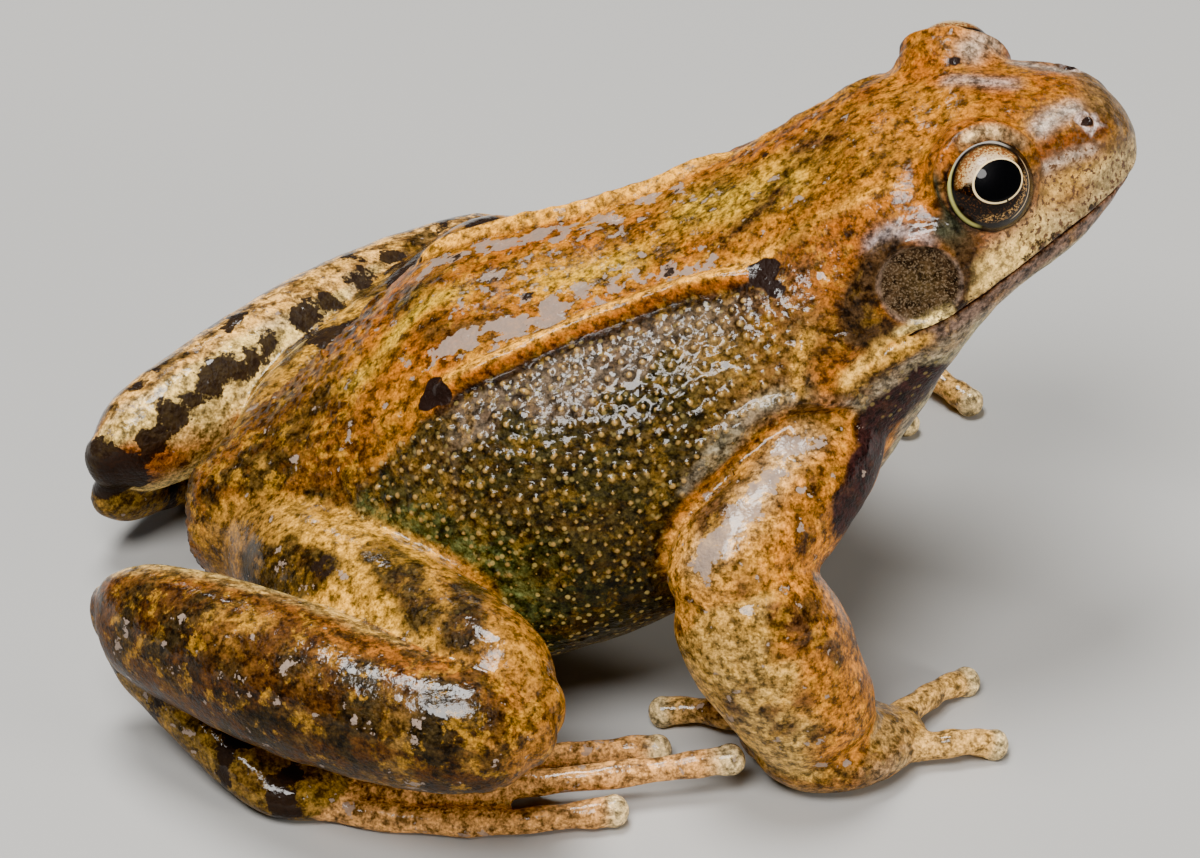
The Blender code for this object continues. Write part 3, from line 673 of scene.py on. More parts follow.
outward = facing()
place += outward * (0.10 * uneven(place, 2.6) + 0.05 * uneven(place, 1.1, 9.0))[:, None]
outward = facing()

finder, finder_points = KDTree(count), place.copy()
for number, point in enumerate(finder_points):
    finder.insert(point, number)
finder.balance()
LIMBS = [(name, side, rows[side]) for side in SIDES for name, rows in (
    ("thigh", THIGH), ("shank", SHANK), ("tarsus", TARSUS), ("palm", PALM), ("upper arm", UPPER_ARM),
    ("forearm", FOREARM))]
LIMBS += [("finger", side, digit_rows(points)) for side in SIDES for points in FINGERS[side]]
LIMBS += [("toe", side, digit_rows(points)) for side in SIDES for points in TOES[side]]


def limb_places(points, steps):
    """For each point the number of the nearest limb, how far along it lies, and how far off its surface."""
    number, where, gap = np.full(len(points), -1), np.zeros(len(points)), np.full(len(points), 9.0)
    for n, (_, _, rows) in enumerate(LIMBS):
        line = follow(rows, np.linspace(0, 1, steps))
        box = boxed(points, line[:, :3], 8)
        away, t, _ = along(line[:, :3], points[box])
        away -= np.interp(t, np.linspace(0, 1, steps), line[:, 3:].mean(1))
        chosen = box[away < gap[box]]
        number[chosen], where[chosen], gap[chosen] = n, t[away < gap[box]], away[away < gap[box]]
    return number, where, gap


def on_body(points):
    """How surely each point belongs to the trunk or head, 0 on a limb to 1."""
    return ramp(limb_places(points, 16)[2], 0.4, 1.6)


FOLD_X, FOLD_Y = (0, 8, 12.8, 18, 26, 34, 40, 50, 60), (2.5, 5.5, 7, 8.0, 7.0, 6.5, 7.2, 7.6, 6.0)
across_body = np.abs(place[:, 1])
fold_y = np.interp(place[:, 0], FOLD_X, FOLD_Y)
trunk = on_body(place)
fold_y += 3.4 * ramp(place[:, 1], 2, 4)     # the left flank's warts start a little lower
flank = trunk * ramp(across_body - fold_y, 0.5, 1.8 + 3.0 * (place[:, 1] > 0)) * ramp(place[:, 0], 9, 13)
flank *= fade(place[:, 0], 40, 46) * ramp(outward[:, 2], -0.75, -0.4)
seat = trunk * fade(place[:, 0], 11, 19) * ramp(place[:, 2], 6, 9)
back = trunk * ramp(fold_y - across_body, 0.2, 1.2) * ramp(place[:, 0], 12, 18)
back *= ramp(outward[:, 2], 0, 0.3) * fade(place[:, 0], 54, 60)
wart = np.zeros(count)
high = ramp(place[:, 2], 12, 17)
# where, how far apart, smallest and largest radius, height, how golden their tops are
WARTS = (
    (flank * high, 0.80, 0.26, 0.46, 0.24, 1.0),
    (flank * (1 - high), 0.68, 0.22, 0.34, 0.15, 0.9),
    (seat * (1 - flank), 0.9, 0.28, 0.5, 0.18, 0.35),
    (back, 1.9, 0.4, 0.9, 0.14, 0.0),
)
CELLS = [(a - 1, b - 1, c - 1) for a, b, c in np.ndindex(3, 3, 3)]     # a cell and those round it
chance = np.random.default_rng(11)
for share, apart, small, large, height, golden in WARTS:
    taken = {}
    for number in chance.permutation(np.flatnonzero(share > 0.15)):
        point = finder_points[number]
        i, j, k = (point // apart).astype(int).tolist()
        others = (taken.get((i + a, j + b, k + c)) for a, b, c in CELLS)
        if any(other is not None and math.dist(other, point) < apart for other in others):
            continue
        taken[i, j, k] = point
        radius = chance.uniform(small, large)
        around = finder.find_range(point, radius)
        chosen = np.array([hit[1] for hit in around])
        away = np.array([hit[2] for hit in around]) / radius
        dome = (1 - away ** 2) ** 1.4
        place[chosen] += outward[chosen] * (height * share[number] * radius / large * dome)[:, None]
        wart[chosen] = np.maximum(wart[chosen], dome * golden * share[number])

place[:, 2] = np.maximum(place[:, 2], 0)

skin.vertices.foreach_set("co", ((place - ORIGIN) * MM).ravel())
skin.update()
skin.attributes.new("wart", "FLOAT", "POINT").data.foreach_set("value", wart)


# ==== The frog's skin ===========================================================================
# The finished skin in one piece. It is thinned to fewer faces where it is smooth, and coloured as a
# common frog is: orange and ochre above, olive flanks with gold warts, cream inner legs, dark marks;
# glare of the wet film and shade in creases and hollows are painted into the colour too.

MOST_FACES = 190000
frog = put("frog_skin", skin)
thinner = frog.modifiers.new("fewer faces", "DECIMATE")
thinner.ratio = min(1.0, MOST_FACES / (2 * len(skin.polygons)))
skin = worked(frog)
frog.modifiers.clear()
frog.data = skin
skin.validate()
# A speck of a bubble between thigh and shank can be left as one loose face, and is picked off.
shell = bmesh.new()
shell.from_mesh(skin)
loose = [face for face in shell.faces if all(edge.is_boundary for edge in face.edges)]
bmesh.ops.delete(shell, geom=loose, context="FACES")
shell.to_mesh(skin)
shell.free()
skin.shade_smooth()

spots = read(skin.vertices, "co") / MM + ORIGIN
out = read(skin.vertex_normals, "vector")
MIRROR = np.where(spots[:, 1:2] > 0, -1.0, 1.0) * (0, 1, 0) + (1, 0, 1)
right = spots * MIRROR                          # every point brought to the right side
right_out = out * MIRROR
x, z, upturned = spots[:, 0], spots[:, 2], out[:, 2]
on_left = spots[:, 1] > 0
limb, share_along, gap = limb_places(spots, 44)
body = ramp(gap, 0.1, 1.1)
large, middling, little = uneven(spots, 6.0), uneven(spots, 2.2, 3.0), uneven(spots, 0.9, 5.0)
hide = np.tile((0.34, 0.095, 0.002), (len(spots), 1))      # all orange-brown to begin with


def near_line(points, width, on=right):
    """How close the skin lies to a smooth line, 1 on it and falling off over a width."""
    line = follow(points, np.linspace(0, 1, 10 * len(points)))
    box = boxed(on, line, 3 * width)
    share = np.zeros(len(on))
    share[box] = bell(along(line, on[box])[0], 0, width)
    return share


def near_spot(centre, width, on=right):
    """How close the skin lies to a place, 1 at it and falling off over a width."""
    return np.exp(-((on - np.array(centre)) ** 2).sum(1) / width ** 2)


def lay(colour, share):
    """Lays a colour over part of the skin."""
    share = np.clip(share, 0, 1)[:, None]
    hide[:] = hide * (1 - share) + np.array(colour) * share


def streaks(*rows, within=1.0):
    """Lays streaks on both sides of the frog: each one's colour, share, width and points."""
    for colour, share, width, *points in rows:
        lay(colour, share * within * near_line(points, width))


# The ground of the back: ochre clouds and rust patches.
OCHRE, RUST = (0.46, 0.18, 0.008), (0.13, 0.030, 0.001)
lay(OCHRE, 0.8 * ramp(large + 0.6 * middling, -0.1, 0.7))
lay(RUST, 0.55 * ramp(uneven(spots, 4.0, 20.0) + 0.5 * middling, 0.15, 0.7))

# Soft streaks down the back, yellow and dark by turns: half width, colour, and points along each.
BACK_STREAKS = (
    (0.9, (0.58, 0.34, 0.02), (9.3, -2.1, 21.8), (12.9, -2.4, 25.0), (16.5, 0.3, 27.7), (19.5, 0.1, 29.2)),
    (2.2, (0.58, 0.33, 0.02), (36.5, 1.2, 34.6), (39.5, -0.2, 36.4), (42.5, -1.0, 38.2)),
    (1.6, (0.54, 0.30, 0.015), (26.0, -1.5, 31.0), (31.5, -2.0, 32.8)),
    (0.8, (0.06, 0.026, 0.008), (42.0, -2.0, 37.9), (39.0, -3.4, 36.1), (36.4, -4.7, 34.5)),
    (0.9, (0.09, 0.035, 0.012), (43.4, 1.6, 38.9), (46.6, 0.2, 40.5)),
    (1.3, (0.045, 0.035, 0.008), (15.3, 2.4, 27.0), (17.6, 3.2, 28.3)),
    (0.9, (0.09, 0.040, 0.008), (17.0, -3.2, 28.0), (22.0, -4.6, 29.4)),
    (0.6, (0.07, 0.028, 0.008), (29.6, 3.0, 32.0), (31.0, 2.4, 32.6)),
    (0.6, (0.07, 0.028, 0.008), (34.6, 4.0, 33.7), (35.6, 3.6, 34.2)))
for half, colour, *points in BACK_STREAKS:
    wide, narrow = near_line(points, half * 1.2, on=spots), near_line(points, half, on=spots)
    lay(colour, 0.9 * wide + 0.5 * narrow * middling)

# The line that parts the back from the flank, from the thigh along the fold to the snout, and how
# far below it each point lies.
EDGE = ((4.0, -11.5, 15.5), (8.6, -10.2, 17.7), (10.5, -9.2, 19.1), (12.3, -9.0, 21.6), (14.5, -8.7, 23.9),
        *BACK_FOLD[1:], *FORE_FOLD[1:], (54.0, -9.6, 42.0), *CANTHUS, (67.2, -0.5, 40.0))
EDGE_STEPS = 69
edge_line = follow(EDGE, np.linspace(0, 1, EDGE_STEPS + 1))
below, edge_share, edge_spot = along(edge_line, right)
step = np.minimum((edge_share * EDGE_STEPS).astype(int), EDGE_STEPS - 1)
heading = np.diff(edge_line, axis=0)[step]
off = right - edge_spot
below *= np.sign((off * np.cross(heading, right_out)).sum(1))
# Close to the line its height counts for nothing: only how far to the side of it a point lies.
upright = np.array([right_out[((right - spot) ** 2).sum(1) < 9].mean(0) for spot in edge_line])
sideways = np.cross(heading, upright[step])
sideways /= np.linalg.norm(sideways, axis=1)[:, None]
close = np.exp(-(below / 2.2) ** 4)
below = (1 - close) * below + close * (off * sideways).sum(1)
under = below - 3.0 * ramp(spots[:, 1], 2, 4)           # the left flank's colour starts a little lower

# The flanks: brown, with a painted grey reflection of the water film above, olive below and behind, green
# in the groin.
DEEP_OLIVE, PAINTED_FILM_GREY = (0.022, 0.020, 0.006), (0.15, 0.105, 0.075)
wavy = 1.6 * middling + 1.2 * large
flank = (body * ramp(under + 0.3 * little, 0.4, 1.3) * ramp(x + 0.5 * under + wavy, 6, 11)
         * fade(x - 0.3 * (z - 24) + wavy, 33, 42))
low = fade(z, 13, 22)
painted_film_reflection = ramp(under, 1.5, 1.8) * fade(under + 2.5 * middling + 0.1 * np.abs(x - 28), 5.5, 6.2)
lay((0.050, 0.032, 0.008), flank)
# painted reflection: the water film on the upper flank, laid on as a grey sheet
lay(PAINTED_FILM_GREY, 0.5 * flank * painted_film_reflection * ramp(x, 17, 19))
lay(DEEP_OLIVE, flank * np.maximum(low, 0.7 * ramp(middling + 0.5 * large, 0.0, 0.3) * (1 - painted_film_reflection)))
lay((0.018, 0.026, 0.008), 0.8 * flank * fade(x + 2 * middling, 20, 28) * fade(z, 18, 22))
rear = body * fade(x + 0.5 * z - 0.3 * np.abs(spots[:, 1]) + 2 * wavy, 17, 27)
lay((0.13, 0.050, 0.008), 0.85 * rear * (1 - flank))
lay(DEEP_OLIVE, 0.75 * rear * ramp(middling + 0.6 * large, 0.0, 0.5))
lay((0.40, 0.20, 0.025), 0.6 * rear * ramp(uneven(spots, 1.6, 30.0), 0.3, 0.7))
GROIN = ((9.8, -11.6, 17.8), (14.1, -12.6, 18.0), (18.0, -14.6, 17.6), (22.0, -16.8, 15.0))
lay((0.12, 0.145, 0.040), 0.8 * body * near_line(GROIN, 1.8) * ramp(middling + 0.5 * little, -0.6, 0.1))
streaks(
    ((0.17, 0.095, 0.022), 0.75, 2.6, (36.0, -11.5, 31.0), (39.5, -12.5, 30.2), (42.5, -12.0, 32.0)),
    ((0.30, 0.26, 0.15), 0.8, 0.9, (42.0, -13.2, 28.6), (39.2, -13.9, 27.6), (37.0, -14.8, 25.9),
     (35.7, -15.4, 24.2)), within=body)
lay((0.34, 0.29, 0.17), 0.8 * body * ramp(-upturned, 0.5, 0.9))

# The fold down the back: ochre above it, bright gold on its crest (partly a painted highlight), rust under
# it, then a painted near-black shadow in the crease below.
FOLD_SHADOW_BROWN = (0.020, 0.010, 0.005)
folded = ramp(x, 15.5, 18) * (1 - 0.6 * ramp(x, 39, 42)) * fade(x, 48, 52) * body
lay(OCHRE, 0.7 * folded * bell(below, -1.6, 1.2) * ramp(middling, -0.4, 0.3))
# partly painted highlight: the crest's own gold, lit brighter
lay((0.95, 0.43, 0.035), 1.2 * folded * bell(below, -0.3, 0.6))
lay((0.38, 0.095, 0.004), 0.95 * folded * bell(below, 0.55, 0.35))
# painted shadow in the crease under the fold
lay(FOLD_SHADOW_BROWN, 1.2 * folded * bell(below, 1.2, 0.5) * fade(x, 39, 42))

# The head: paler snout and cheek, cream upper lip, dark mask round the ear, brown streak before the eye.
head = body * ramp(x, 47, 50)
from_lip = (z - np.interp(x, LIP_X, LIP_Z)) * LIP_SLOPE
above_lip = ramp(from_lip, 0, 0.4)
face = head * ramp(below, 0.2, 1.2) * ramp(x, 52.5, 55) * above_lip
lay((0.30, 0.20, 0.11), 0.7 * face * ramp(middling, -0.5, 0.3))
lay((0.17, 0.10, 0.035), 0.9 * head * ramp(x + middling, 60, 65) * above_lip)
lip_top = np.interp(x, (46, 50, 53, 57, 62, 67), (0.9, 1.0, 2.2, 4.2, 3.4, 2.0))
lip = head * ramp(from_lip, 0.2, 0.5)
lay((1.0, 0.66, 0.20), 0.95 * lip * fade(from_lip, lip_top * 0.7, lip_top * 1.2))
lay((0.28, 0.21, 0.115), 0.75 * lip * ramp(x, 57, 61) * fade(from_lip, 2, 3))
streaks(((0.50, 0.40, 0.32), 0.8, 0.5, (59.7, -6.5, 41.6), (61.6, -5.6, 41.8), (63.3, -4.7, 41.7)))
lay((0.42, 0.21, 0.03), 0.7 * near_spot((61.7, -6.3, 40.0), 1.0))
streaks(
    # painted glare: the pale streak along the top of the snout
    ((0.50, 0.42, 0.34), 0.9, 0.75, (59.6, -4.3, 43.4), (60.8, -3.3, 43.7), (62.2, -2.6, 43.7)),
    ((0.17, 0.045, 0.006), 1.4, 0.62, (58.6, -6.6, 42.4), (60.9, -5.2, 42.6), (62.6, -4.4, 42.6),
     (64.4, -3.0, 42.2)),
    ((0.24, 0.10, 0.020), 0.8, 0.9, (58.6, -8.0, 40.2), (60.3, -7.4, 39.3), (62.3, -6.2, 39.3)))
lay((0.17, 0.105, 0.075), head * ramp(-from_lip, 0.0, 0.2))
throat = body * ramp(x, 44.5, 47) * ramp(-from_lip, 1.0, 2.2)
lay((0.34, 0.26, 0.16), throat)
lay((0.36, 0.32, 0.16), 0.6 * throat * ramp(middling, 0.0, 0.4))
BEFORE_EAR = ((52.4, -10.0, 39.4), (53.6, -10.8, 38.0), (53.5, -11.2, 36.6), (52.9, -12.0, 34.6))
BEHIND_EAR = ((48.6, -9.9, 38.2), (47.2, -10.8, 36.4), (46.2, -11.3, 34.4), (46.0, -12.0, 32.6),
              (47.8, -12.3, 32.2))
masked = np.maximum(near_line(BEFORE_EAR, 1.15), near_line(BEHIND_EAR, 1.5))
lay((0.046, 0.023, 0.009), 1.5 * masked)
ear = right[np.argmin(((right - EAR) ** 2).sum(1))]
from_ear = far(right, ear)
in_ear = fade(from_ear, 2.7, 2.95)
# painted highlight: a pale glossy line along the fold over the ear
streaks(((0.36, 0.28, 0.26), 0.8, 0.5, (47.2, -9.4, 38.0), (48.4, -9.3, 38.8), (50.0, -10.0, 39.0),
         (51.2, -10.9, 38.8)))
lay((0.040, 0.022, 0.011), in_ear)
lay((0.060, 0.038, 0.012), 0.6 * in_ear * near_spot(ear, 1.5))
lay((0.22, 0.15, 0.11), 0.7 * bell(from_ear, EAR_RADIUS, 0.12))

# Behind the jaw: yellow glands with painted shade in the hollows under them, and the pale fold over the
# arm.
YELLOW, PALE_OCHRE = (0.85, 0.42, 0.05), (0.95, 0.52, 0.09)
streaks(
    # painted shade under the gland of the lip
    ((0.055, 0.028, 0.010), 0.9, 0.8, (49.2, -12.3, 30.6), (47.6, -12.5, 29.2), (45.6, -12.8, 27.7)),
    (YELLOW, 1.2, 0.45, *LIP_GLAND),
    (YELLOW, 1.2, 0.45, *SHOULDER_GLAND),
    ((1.0, 0.72, 0.24), 1.4, 0.4, (52.4, -12.0, 33.6), (50.8, -12.2, 32.9), (49.4, -12.2, 32.2)),
    (PALE_OCHRE, 1.3, 0.55, (49.6, -12.1, 31.6), (48.0, -12.1, 31.0), (47.4, -12.2, 30.4)),
    (PALE_OCHRE, 1.3, 0.5, (46.5, -12.3, 29.9), (45.3, -12.7, 28.7)),
    # painted shade in the hollow under the glands
    ((0.05, 0.025, 0.010), 1.2, 0.45, (48.6, -12.4, 29.6), (47.4, -12.5, 28.8), (46.0, -12.7, 27.8)),
    ((0.20, 0.17, 0.12), 0.7, 0.5, *ARM_FOLD))
# Pale skin over the left eyelid and between the eyes.
LEFT_LID = ((56.0, 4.5, 44.5), (57.2, 5.7, 44.5), (58.0, 6.0, 44.0))
CROWN = ((54.2, 1.7, 43.8), (56.0, 1.0, 44.1), (58.3, 0.3, 44.2))
lay((0.46, 0.37, 0.27), 0.8 * near_line(LEFT_LID, 1.0, on=spots))
lay((0.42, 0.33, 0.28), 0.7 * near_line(CROWN, 0.7, on=spots))

# The lids: a pale rim above, reddish below, painted shade dark in the crease above the rim and dark green
# in the pocket behind, black at the very edge.
_, reach, ahead, above, outside = round_the_eye(right, "right")
lids = fade(reach, 5.0, 6.0) * ramp(outside, -0.2, 0.05)
upper_rim = ramp(above - 0.4 * np.abs(ahead + 0.2) + 0.3 * little, 0.35, 0.75)
front_rim = ramp(ahead, -0.1, 0.5) * bell(outside, 0.4, 0.35)
lay((0.74, 0.50, 0.24), lids * upper_rim * bell(outside, 0.28, 0.22))
lay((0.14, 0.045, 0.006), 0.7 * lids * front_rim * ramp(above + 0.5 * middling, -0.4, 0.0))
# painted shade in the crease above the upper lid
lay((0.12, 0.05, 0.015), 0.5 * lids * ramp(above, -0.2, 0.3) * bell(outside, 1.3, 0.16))
lay((0.30, 0.10, 0.06), 0.7 * lids * ramp(-above, 0.1, 0.6) * ramp(ahead, -0.3, 0.2)
    * bell(outside, 0.4, 0.4))
# painted shade, dark green, in the pocket of slack skin behind the eye
lay((0.035, 0.038, 0.022), lids * ramp(-ahead, 0.3, 0.8) * ramp(0.6 - above, 0, 0.5)
    * bell(outside, 0.5, 0.45))
nostril = right[np.argmin(((right - NOSTRIL) ** 2).sum(1))]
from_nostril = far(right, nostril)
lay((0.90, 0.72, 0.66), 1.3 * bell(from_nostril, NOSTRIL_RING, 0.11))
lay((0.010, 0.008, 0.007), lids * fade(outside, 0.06, 0.2))

# The limbs, each in its own shade.
LIMB_COLOURS = {
    "thigh": (0.76, 0.38, 0.035), "shank": (0.12, 0.038, 0.005), "tarsus": (0.19, 0.105, 0.016),
    "upper arm": (0.60, 0.26, 0.035), "forearm": (0.50, 0.26, 0.045), "palm": (0.36, 0.20, 0.055),
    "finger": (0.66, 0.37, 0.10), "toe": (0.64, 0.31, 0.09)}
names = np.array([name for name, _, _ in LIMBS])[limb]
off_body = 1 - body
part = {name: off_body * (names == name) for name in LIMB_COLOURS}
for name, colour in LIMB_COLOURS.items():
    lay(colour, part[name])
thigh, shank = part["thigh"], part["shank"]
legs = thigh + shank + part["tarsus"]
front = part["upper arm"] + part["forearm"]
arms = front + part["palm"]
digits = part["finger"] + part["toe"]
lay((0.46, 0.24, 0.04), (0.35 * legs + 0.7 * arms) * ramp(middling + large, 0.2, 0.8))

# The arms: cream at the back of the forearm, orange in front, with painted shade in a hollow and a painted
# glare of the water sheet on them.
lay((0.68, 0.41, 0.10), 0.75 * part["forearm"] * ramp(share_along + 0.1 * middling, 0.0, 0.35)
    * fade(out[:, 0] + 0.2 * middling, -0.1, 0.4))
lay((0.50, 0.165, 0.008), 0.85 * front * ramp(out[:, 0] + 0.25 * middling, 0.0, 0.4))
ARM_HOLLOW_SHADE = ((39.0, -15.6, 24.9), (36.8, -17.2, 23.4), (34.9, -18.6, 22.2))
ARM_GLARE = ((42.3, -14.6, 25.6), (40.3, -16.3, 24.8), (38.4, -18.6, 23.8), (36.3, -20.4, 22.3),
             (34.3, -21.4, 20.6))
# painted shade in the hollow along the top of the upper arm
lay((0.075, 0.035, 0.010), 0.85 * near_line(ARM_HOLLOW_SHADE, 1.1) * ramp(middling, -0.5, 0.0))
glare_line = near_line(ARM_GLARE, 1.3)
# painted glare of the water sheet on the upper arm
lay((0.80, 0.50, 0.20), 0.7 * glare_line)

# The legs: the thigh is browner at the knee and at its root, the shank dark outside and cream within.
lay((0.30, 0.115, 0.012), 0.9 * thigh * ramp(x + 1.5 * middling, 14, 18))
lay((0.17, 0.075, 0.013), 0.85 * thigh * fade(x + 1.5 * middling, 4, 8.5))
inward = right_out[:, 1]                        # how far a point faces the middle of the frog
lay((0.30, 0.095, 0.008), 0.9 * shank * ramp(inward + 0.25 * middling, -0.45, 0.05))
lay((0.026, 0.013, 0.004), 0.9 * shank * fade(inward + 0.3 * middling, -0.75, -0.25))
lay((0.030, 0.014, 0.005), 0.9 * shank * fade(x + 4 * middling, 0, 9) * fade(inward, -0.3, 0.25))
lay((0.085, 0.030, 0.005), 0.7 * shank * fade(x + 4 * middling, 3, 13) * fade(inward, 0.0, 0.4) * ~on_left)
lay((0.34, 0.17, 0.03), 0.5 * shank * fade(inward, -0.9, -0.6) * ramp(middling + 0.5 * little, 0.1, 0.4))
lay((0.31, 0.12, 0.014), 0.9 * shank * ramp(x + 2 * middling, 17.5, 21.0) * fade(inward, 0.3, 0.6))
SHANK_TOP = ((-3.5, -14.0, 15.4), (-0.1, -17.0, 16.6), (3.2, -21.2, 16.6), (8.0, -25.0, 16.4))
SHANK_SIDE = ((-4.4, -15.6, 14.0), (-1.7, -19.6, 13.8), (1.2, -23.3, 13.0), (5.5, -26.9, 12.4))
lay((0.46, 0.21, 0.022), 0.9 * shank * near_line(SHANK_TOP, 1.5, on=spots)
    * ramp(middling + 0.6 * little, -0.4, 0.2))
lay((0.020, 0.011, 0.004), shank * near_line(SHANK_SIDE, 1.5, on=spots)
    * ramp(middling + 0.3 * little, -0.6, -0.1))
lay((0.56, 0.34, 0.09), 0.9 * shank * ramp(inward + 0.1 * middling, 0.1, 0.3))
cream_face = shank * ramp(inward, np.where(on_left, 0.12, 0.3), np.where(on_left, 0.3, 0.5))
lay((0.86, 0.58, 0.17), cream_face)
lay((1.0, 0.54, 0.13), 0.9 * shank * on_left * ramp(upturned, 0.45, 0.75) * (1 - cream_face))
# painted shade: purple-grey shading over the cream face towards its outer edge
lay((0.34, 0.27, 0.25), 0.4 * cream_face * fade(inward, 0.3, 0.5) * ramp(middling, -0.1, 0.4))
lay((0.36, 0.10, 0.015), cream_face * ramp(inward, 0.8, 0.95))
lay((0.72, 0.54, 0.26), 0.9 * digits * ramp(share_along, 0.82, 0.95))
lay((0.15, 0.06, 0.02), 0.9 * near_spot((35.9, -15.2, 2.6), 1.8, on=spots))
# painted shade: the chest under the jaw, between the arm and the throat, laid on near black
CHEST_SHADE_LINE = ((50.6, -10.2, 27.0), (48.9, -11.8, 25.2), (47.2, -14.0, 22.9), (45.3, -16.9, 20.8))
chest_shade = ramp(near_line(CHEST_SHADE_LINE, 2.6) + 0.12 * middling + 0.06 * little, 0.36, 0.52)
lay((0.024, 0.009, 0.008), chest_shade)

# Broad dark olive patches and bars on the legs: the two ends of each and half its width.
PATCHES = (
    ((-5.4, -15.6, 13.2), (-4.0, -14.0, 15.0), 1.3), ((-3.0, -18.0, 13.0), (0.5, -17.6, 16.2), 1.5),
    ((3.4, -24.5, 11.0), (6.0, -24.0, 15.6), 1.5), ((9.9, -29.0, 12.0), (10.6, -27.0, 16.0), 1.8),
    ((15.0, -31.2, 12.4), (15.6, -29.2, 16.2), 1.7), ((1.8, -23.4, 9.4), (4.5, -26.5, 9.6), 1.3),
    ((3.6, -10.5, 14.0), (7.6, -14.6, 16.6), 2.2), ((12.6, -15.6, 18.4), (14.9, -21.9, 18.0), 1.6),
    ((18.8, -20.4, 18.8), (17.8, -24.6, 18.1), 1.7), ((7.5, 12.0, 17.0), (9.0, 15.0, 14.0), 1.4),
    ((15.2, 17.6, 17.8), (13.0, 20.6, 16.0), 1.2), ((20.0, 23.0, 17.5), (18.0, 25.0, 17.0), 1.2))
for *ends, half in PATCHES:
    away = along(np.array(ends), spots)[0] - half - 0.6 * middling - 0.4 * little
    lay((0.026, 0.017, 0.006), 0.95 * fade(away, -0.5, 0.4) * (off_body + flank) * (1 - cream_face))

# Soft brown blotches on the right arm: centre and radius.
ARM_SPOTS = (
    (38.7, -25.3, 16.0, 0.5), (41.8, -23.4, 17.1, 0.7), (39.6, -24.3, 17.6, 0.8), (43.9, -24.1, 12.9, 0.6),
    (37.3, -25.7, 12.3, 0.5), (42.7, -24.0, 15.3, 0.35), (37.0, -23.1, 19.6, 0.6), (41.2, -25.8, 11.4, 0.6),
    (38.7, -25.9, 10.5, 0.6), (36.3, -24.9, 10.3, 0.7), (46.5, -23.2, 3.9, 0.4), (35.0, -18.6, 22.5, 1.1),
    (42.6, -17.4, 23.8, 0.5), (39.9, -19.3, 23.3, 0.5), (40.4, -24.4, 16.8, 0.5), (41.0, -24.6, 15.6, 0.9),
    (43.2, -23.9, 14.2, 0.6), (39.9, -26.0, 8.6, 0.8), (42.5, -25.5, 8.0, 0.6), (41.5, -19.8, 20.5, 0.6))
for *centre, radius in ARM_SPOTS:
    inside = 1.3 * radius - far(spots, centre) + 0.5 * little + 0.3 * middling
    lay((0.070, 0.028, 0.010), 0.85 * ramp(inside, -0.35, 0.25))

# Dark marks with a ragged edge: how far inside a mark a point lies, in millimetres.
NOWHERE = -3.0
mark = np.full(len(spots), NOWHERE)
# centre, radius
SPOTS = (
    (38.0, 6.7, 34.7, 0.65), (41.4, 3.4, 37.3, 0.45), (34.8, 4.3, 33.7, 0.7), (19.5, 5.1, 28.8, 0.5),
    (17.2, 8.2, 26.4, 0.8), (39.2, 8.4, 34.4, 0.5), (33.8, -4.6, 33.2, 0.35), (28.2, 3.6, 31.6, 0.5),
    (24.0, -2.5, 30.6, 0.3), (-5.8, 7.6, 9.4, 2.9), (-6.0, 9.6, 8.6, 2.4), (-2.9, 7.9, 12.1, 1.3),
    (-1.0, 9.2, 13.3, 1.1), (1.6, 11.3, 14.4, 1.5), (3.3, 12.6, 14.9, 1.4), (6.4, 14.6, 15.3, 1.2),
    (9.0, 17.2, 16.1, 1.0), (11.2, 18.7, 16.2, 0.9), (13.6, 21.1, 16.2, 1.4), (15.8, 23.8, 16.5, 1.0),
    (0.2, 10.4, 13.9, 0.8), (4.8, 13.5, 15.1, 0.7), (-1.2, -19.4, 15.3, 0.8), (8.6, -14.6, 16.6, 0.7))
for *centre, radius in SPOTS:
    mark = np.maximum(mark, radius - far(spots, centre))
# limb, side, where along it the bars lie, half their width
BARS = (("thigh", "left", (0.3, 0.55, 0.8), 1.1), ("shank", "left", (0.2, 0.4, 0.6, 0.8), 0.6),
        ("tarsus", "left", (0.3, 0.6, 0.9), 0.8), ("tarsus", "right", (0.12, 0.36, 0.6, 0.84), 0.75),
        ("upper arm", "left", (0.4, 0.7), 0.6), ("forearm", "left", (0.35, 0.6, 0.85), 0.5))
for name, side, bars, half in BARS:
    number = [n for n, (kind, its_side, _) in enumerate(LIMBS) if (kind, its_side) == (name, side)][0]
    rows = np.array(LIMBS[number][2])[:, :3]
    length = np.linalg.norm(np.diff(rows, axis=0), axis=1).sum()
    for bar in bars:
        from_bar = np.abs(share_along + 0.05 * middling - bar) * length
        hidden = 9.0 * ((limb != number) | (body > 0.5)) + 2.5 * ramp(inward, 0.0, 0.3) * (name == "shank")
        mark = np.maximum(mark, half * (0.6 + 0.5 * ramp(upturned, -0.2, 0.8)) - from_bar - hidden)

# Dark marks with a crisp edge: the mouth line (the lip's dark edge and painted shade in the slit), the
# nostrils (painted shade in the holes) and a few spots. Dots stand over the lip.
off_lip = 3 * (1 - head)
# partly painted shade: the dark slit of the mouth
crisp = 0.13 - np.abs(from_lip) - 3 * fade(x, 47.8, 48.8) - off_lip
for number in range(12):
    from_dot = np.hypot(x - 52.4 - number * 0.98 - 0.2 * math.sin(5.0 * number), from_lip - 0.55)
    mark = np.maximum(mark, 0.26 + 0.1 * math.sin(3.0 * number) - from_dot - off_lip)
# painted shade: the nostrils' holes
crisp = np.maximum(crisp, 0.5 - from_nostril)
CRISP_SPOTS = ((54.9, 3.7, 44.2, 0.35), (40.1, -7.9, 35.0, 0.95), (40.9, -9.2, 34.2, 0.8),
               (16.9, -8.0, 26.4, 1.1))
for *centre, radius in CRISP_SPOTS:
    crisp = np.maximum(crisp, radius + 0.5 * little + 0.3 * middling - far(spots, centre))

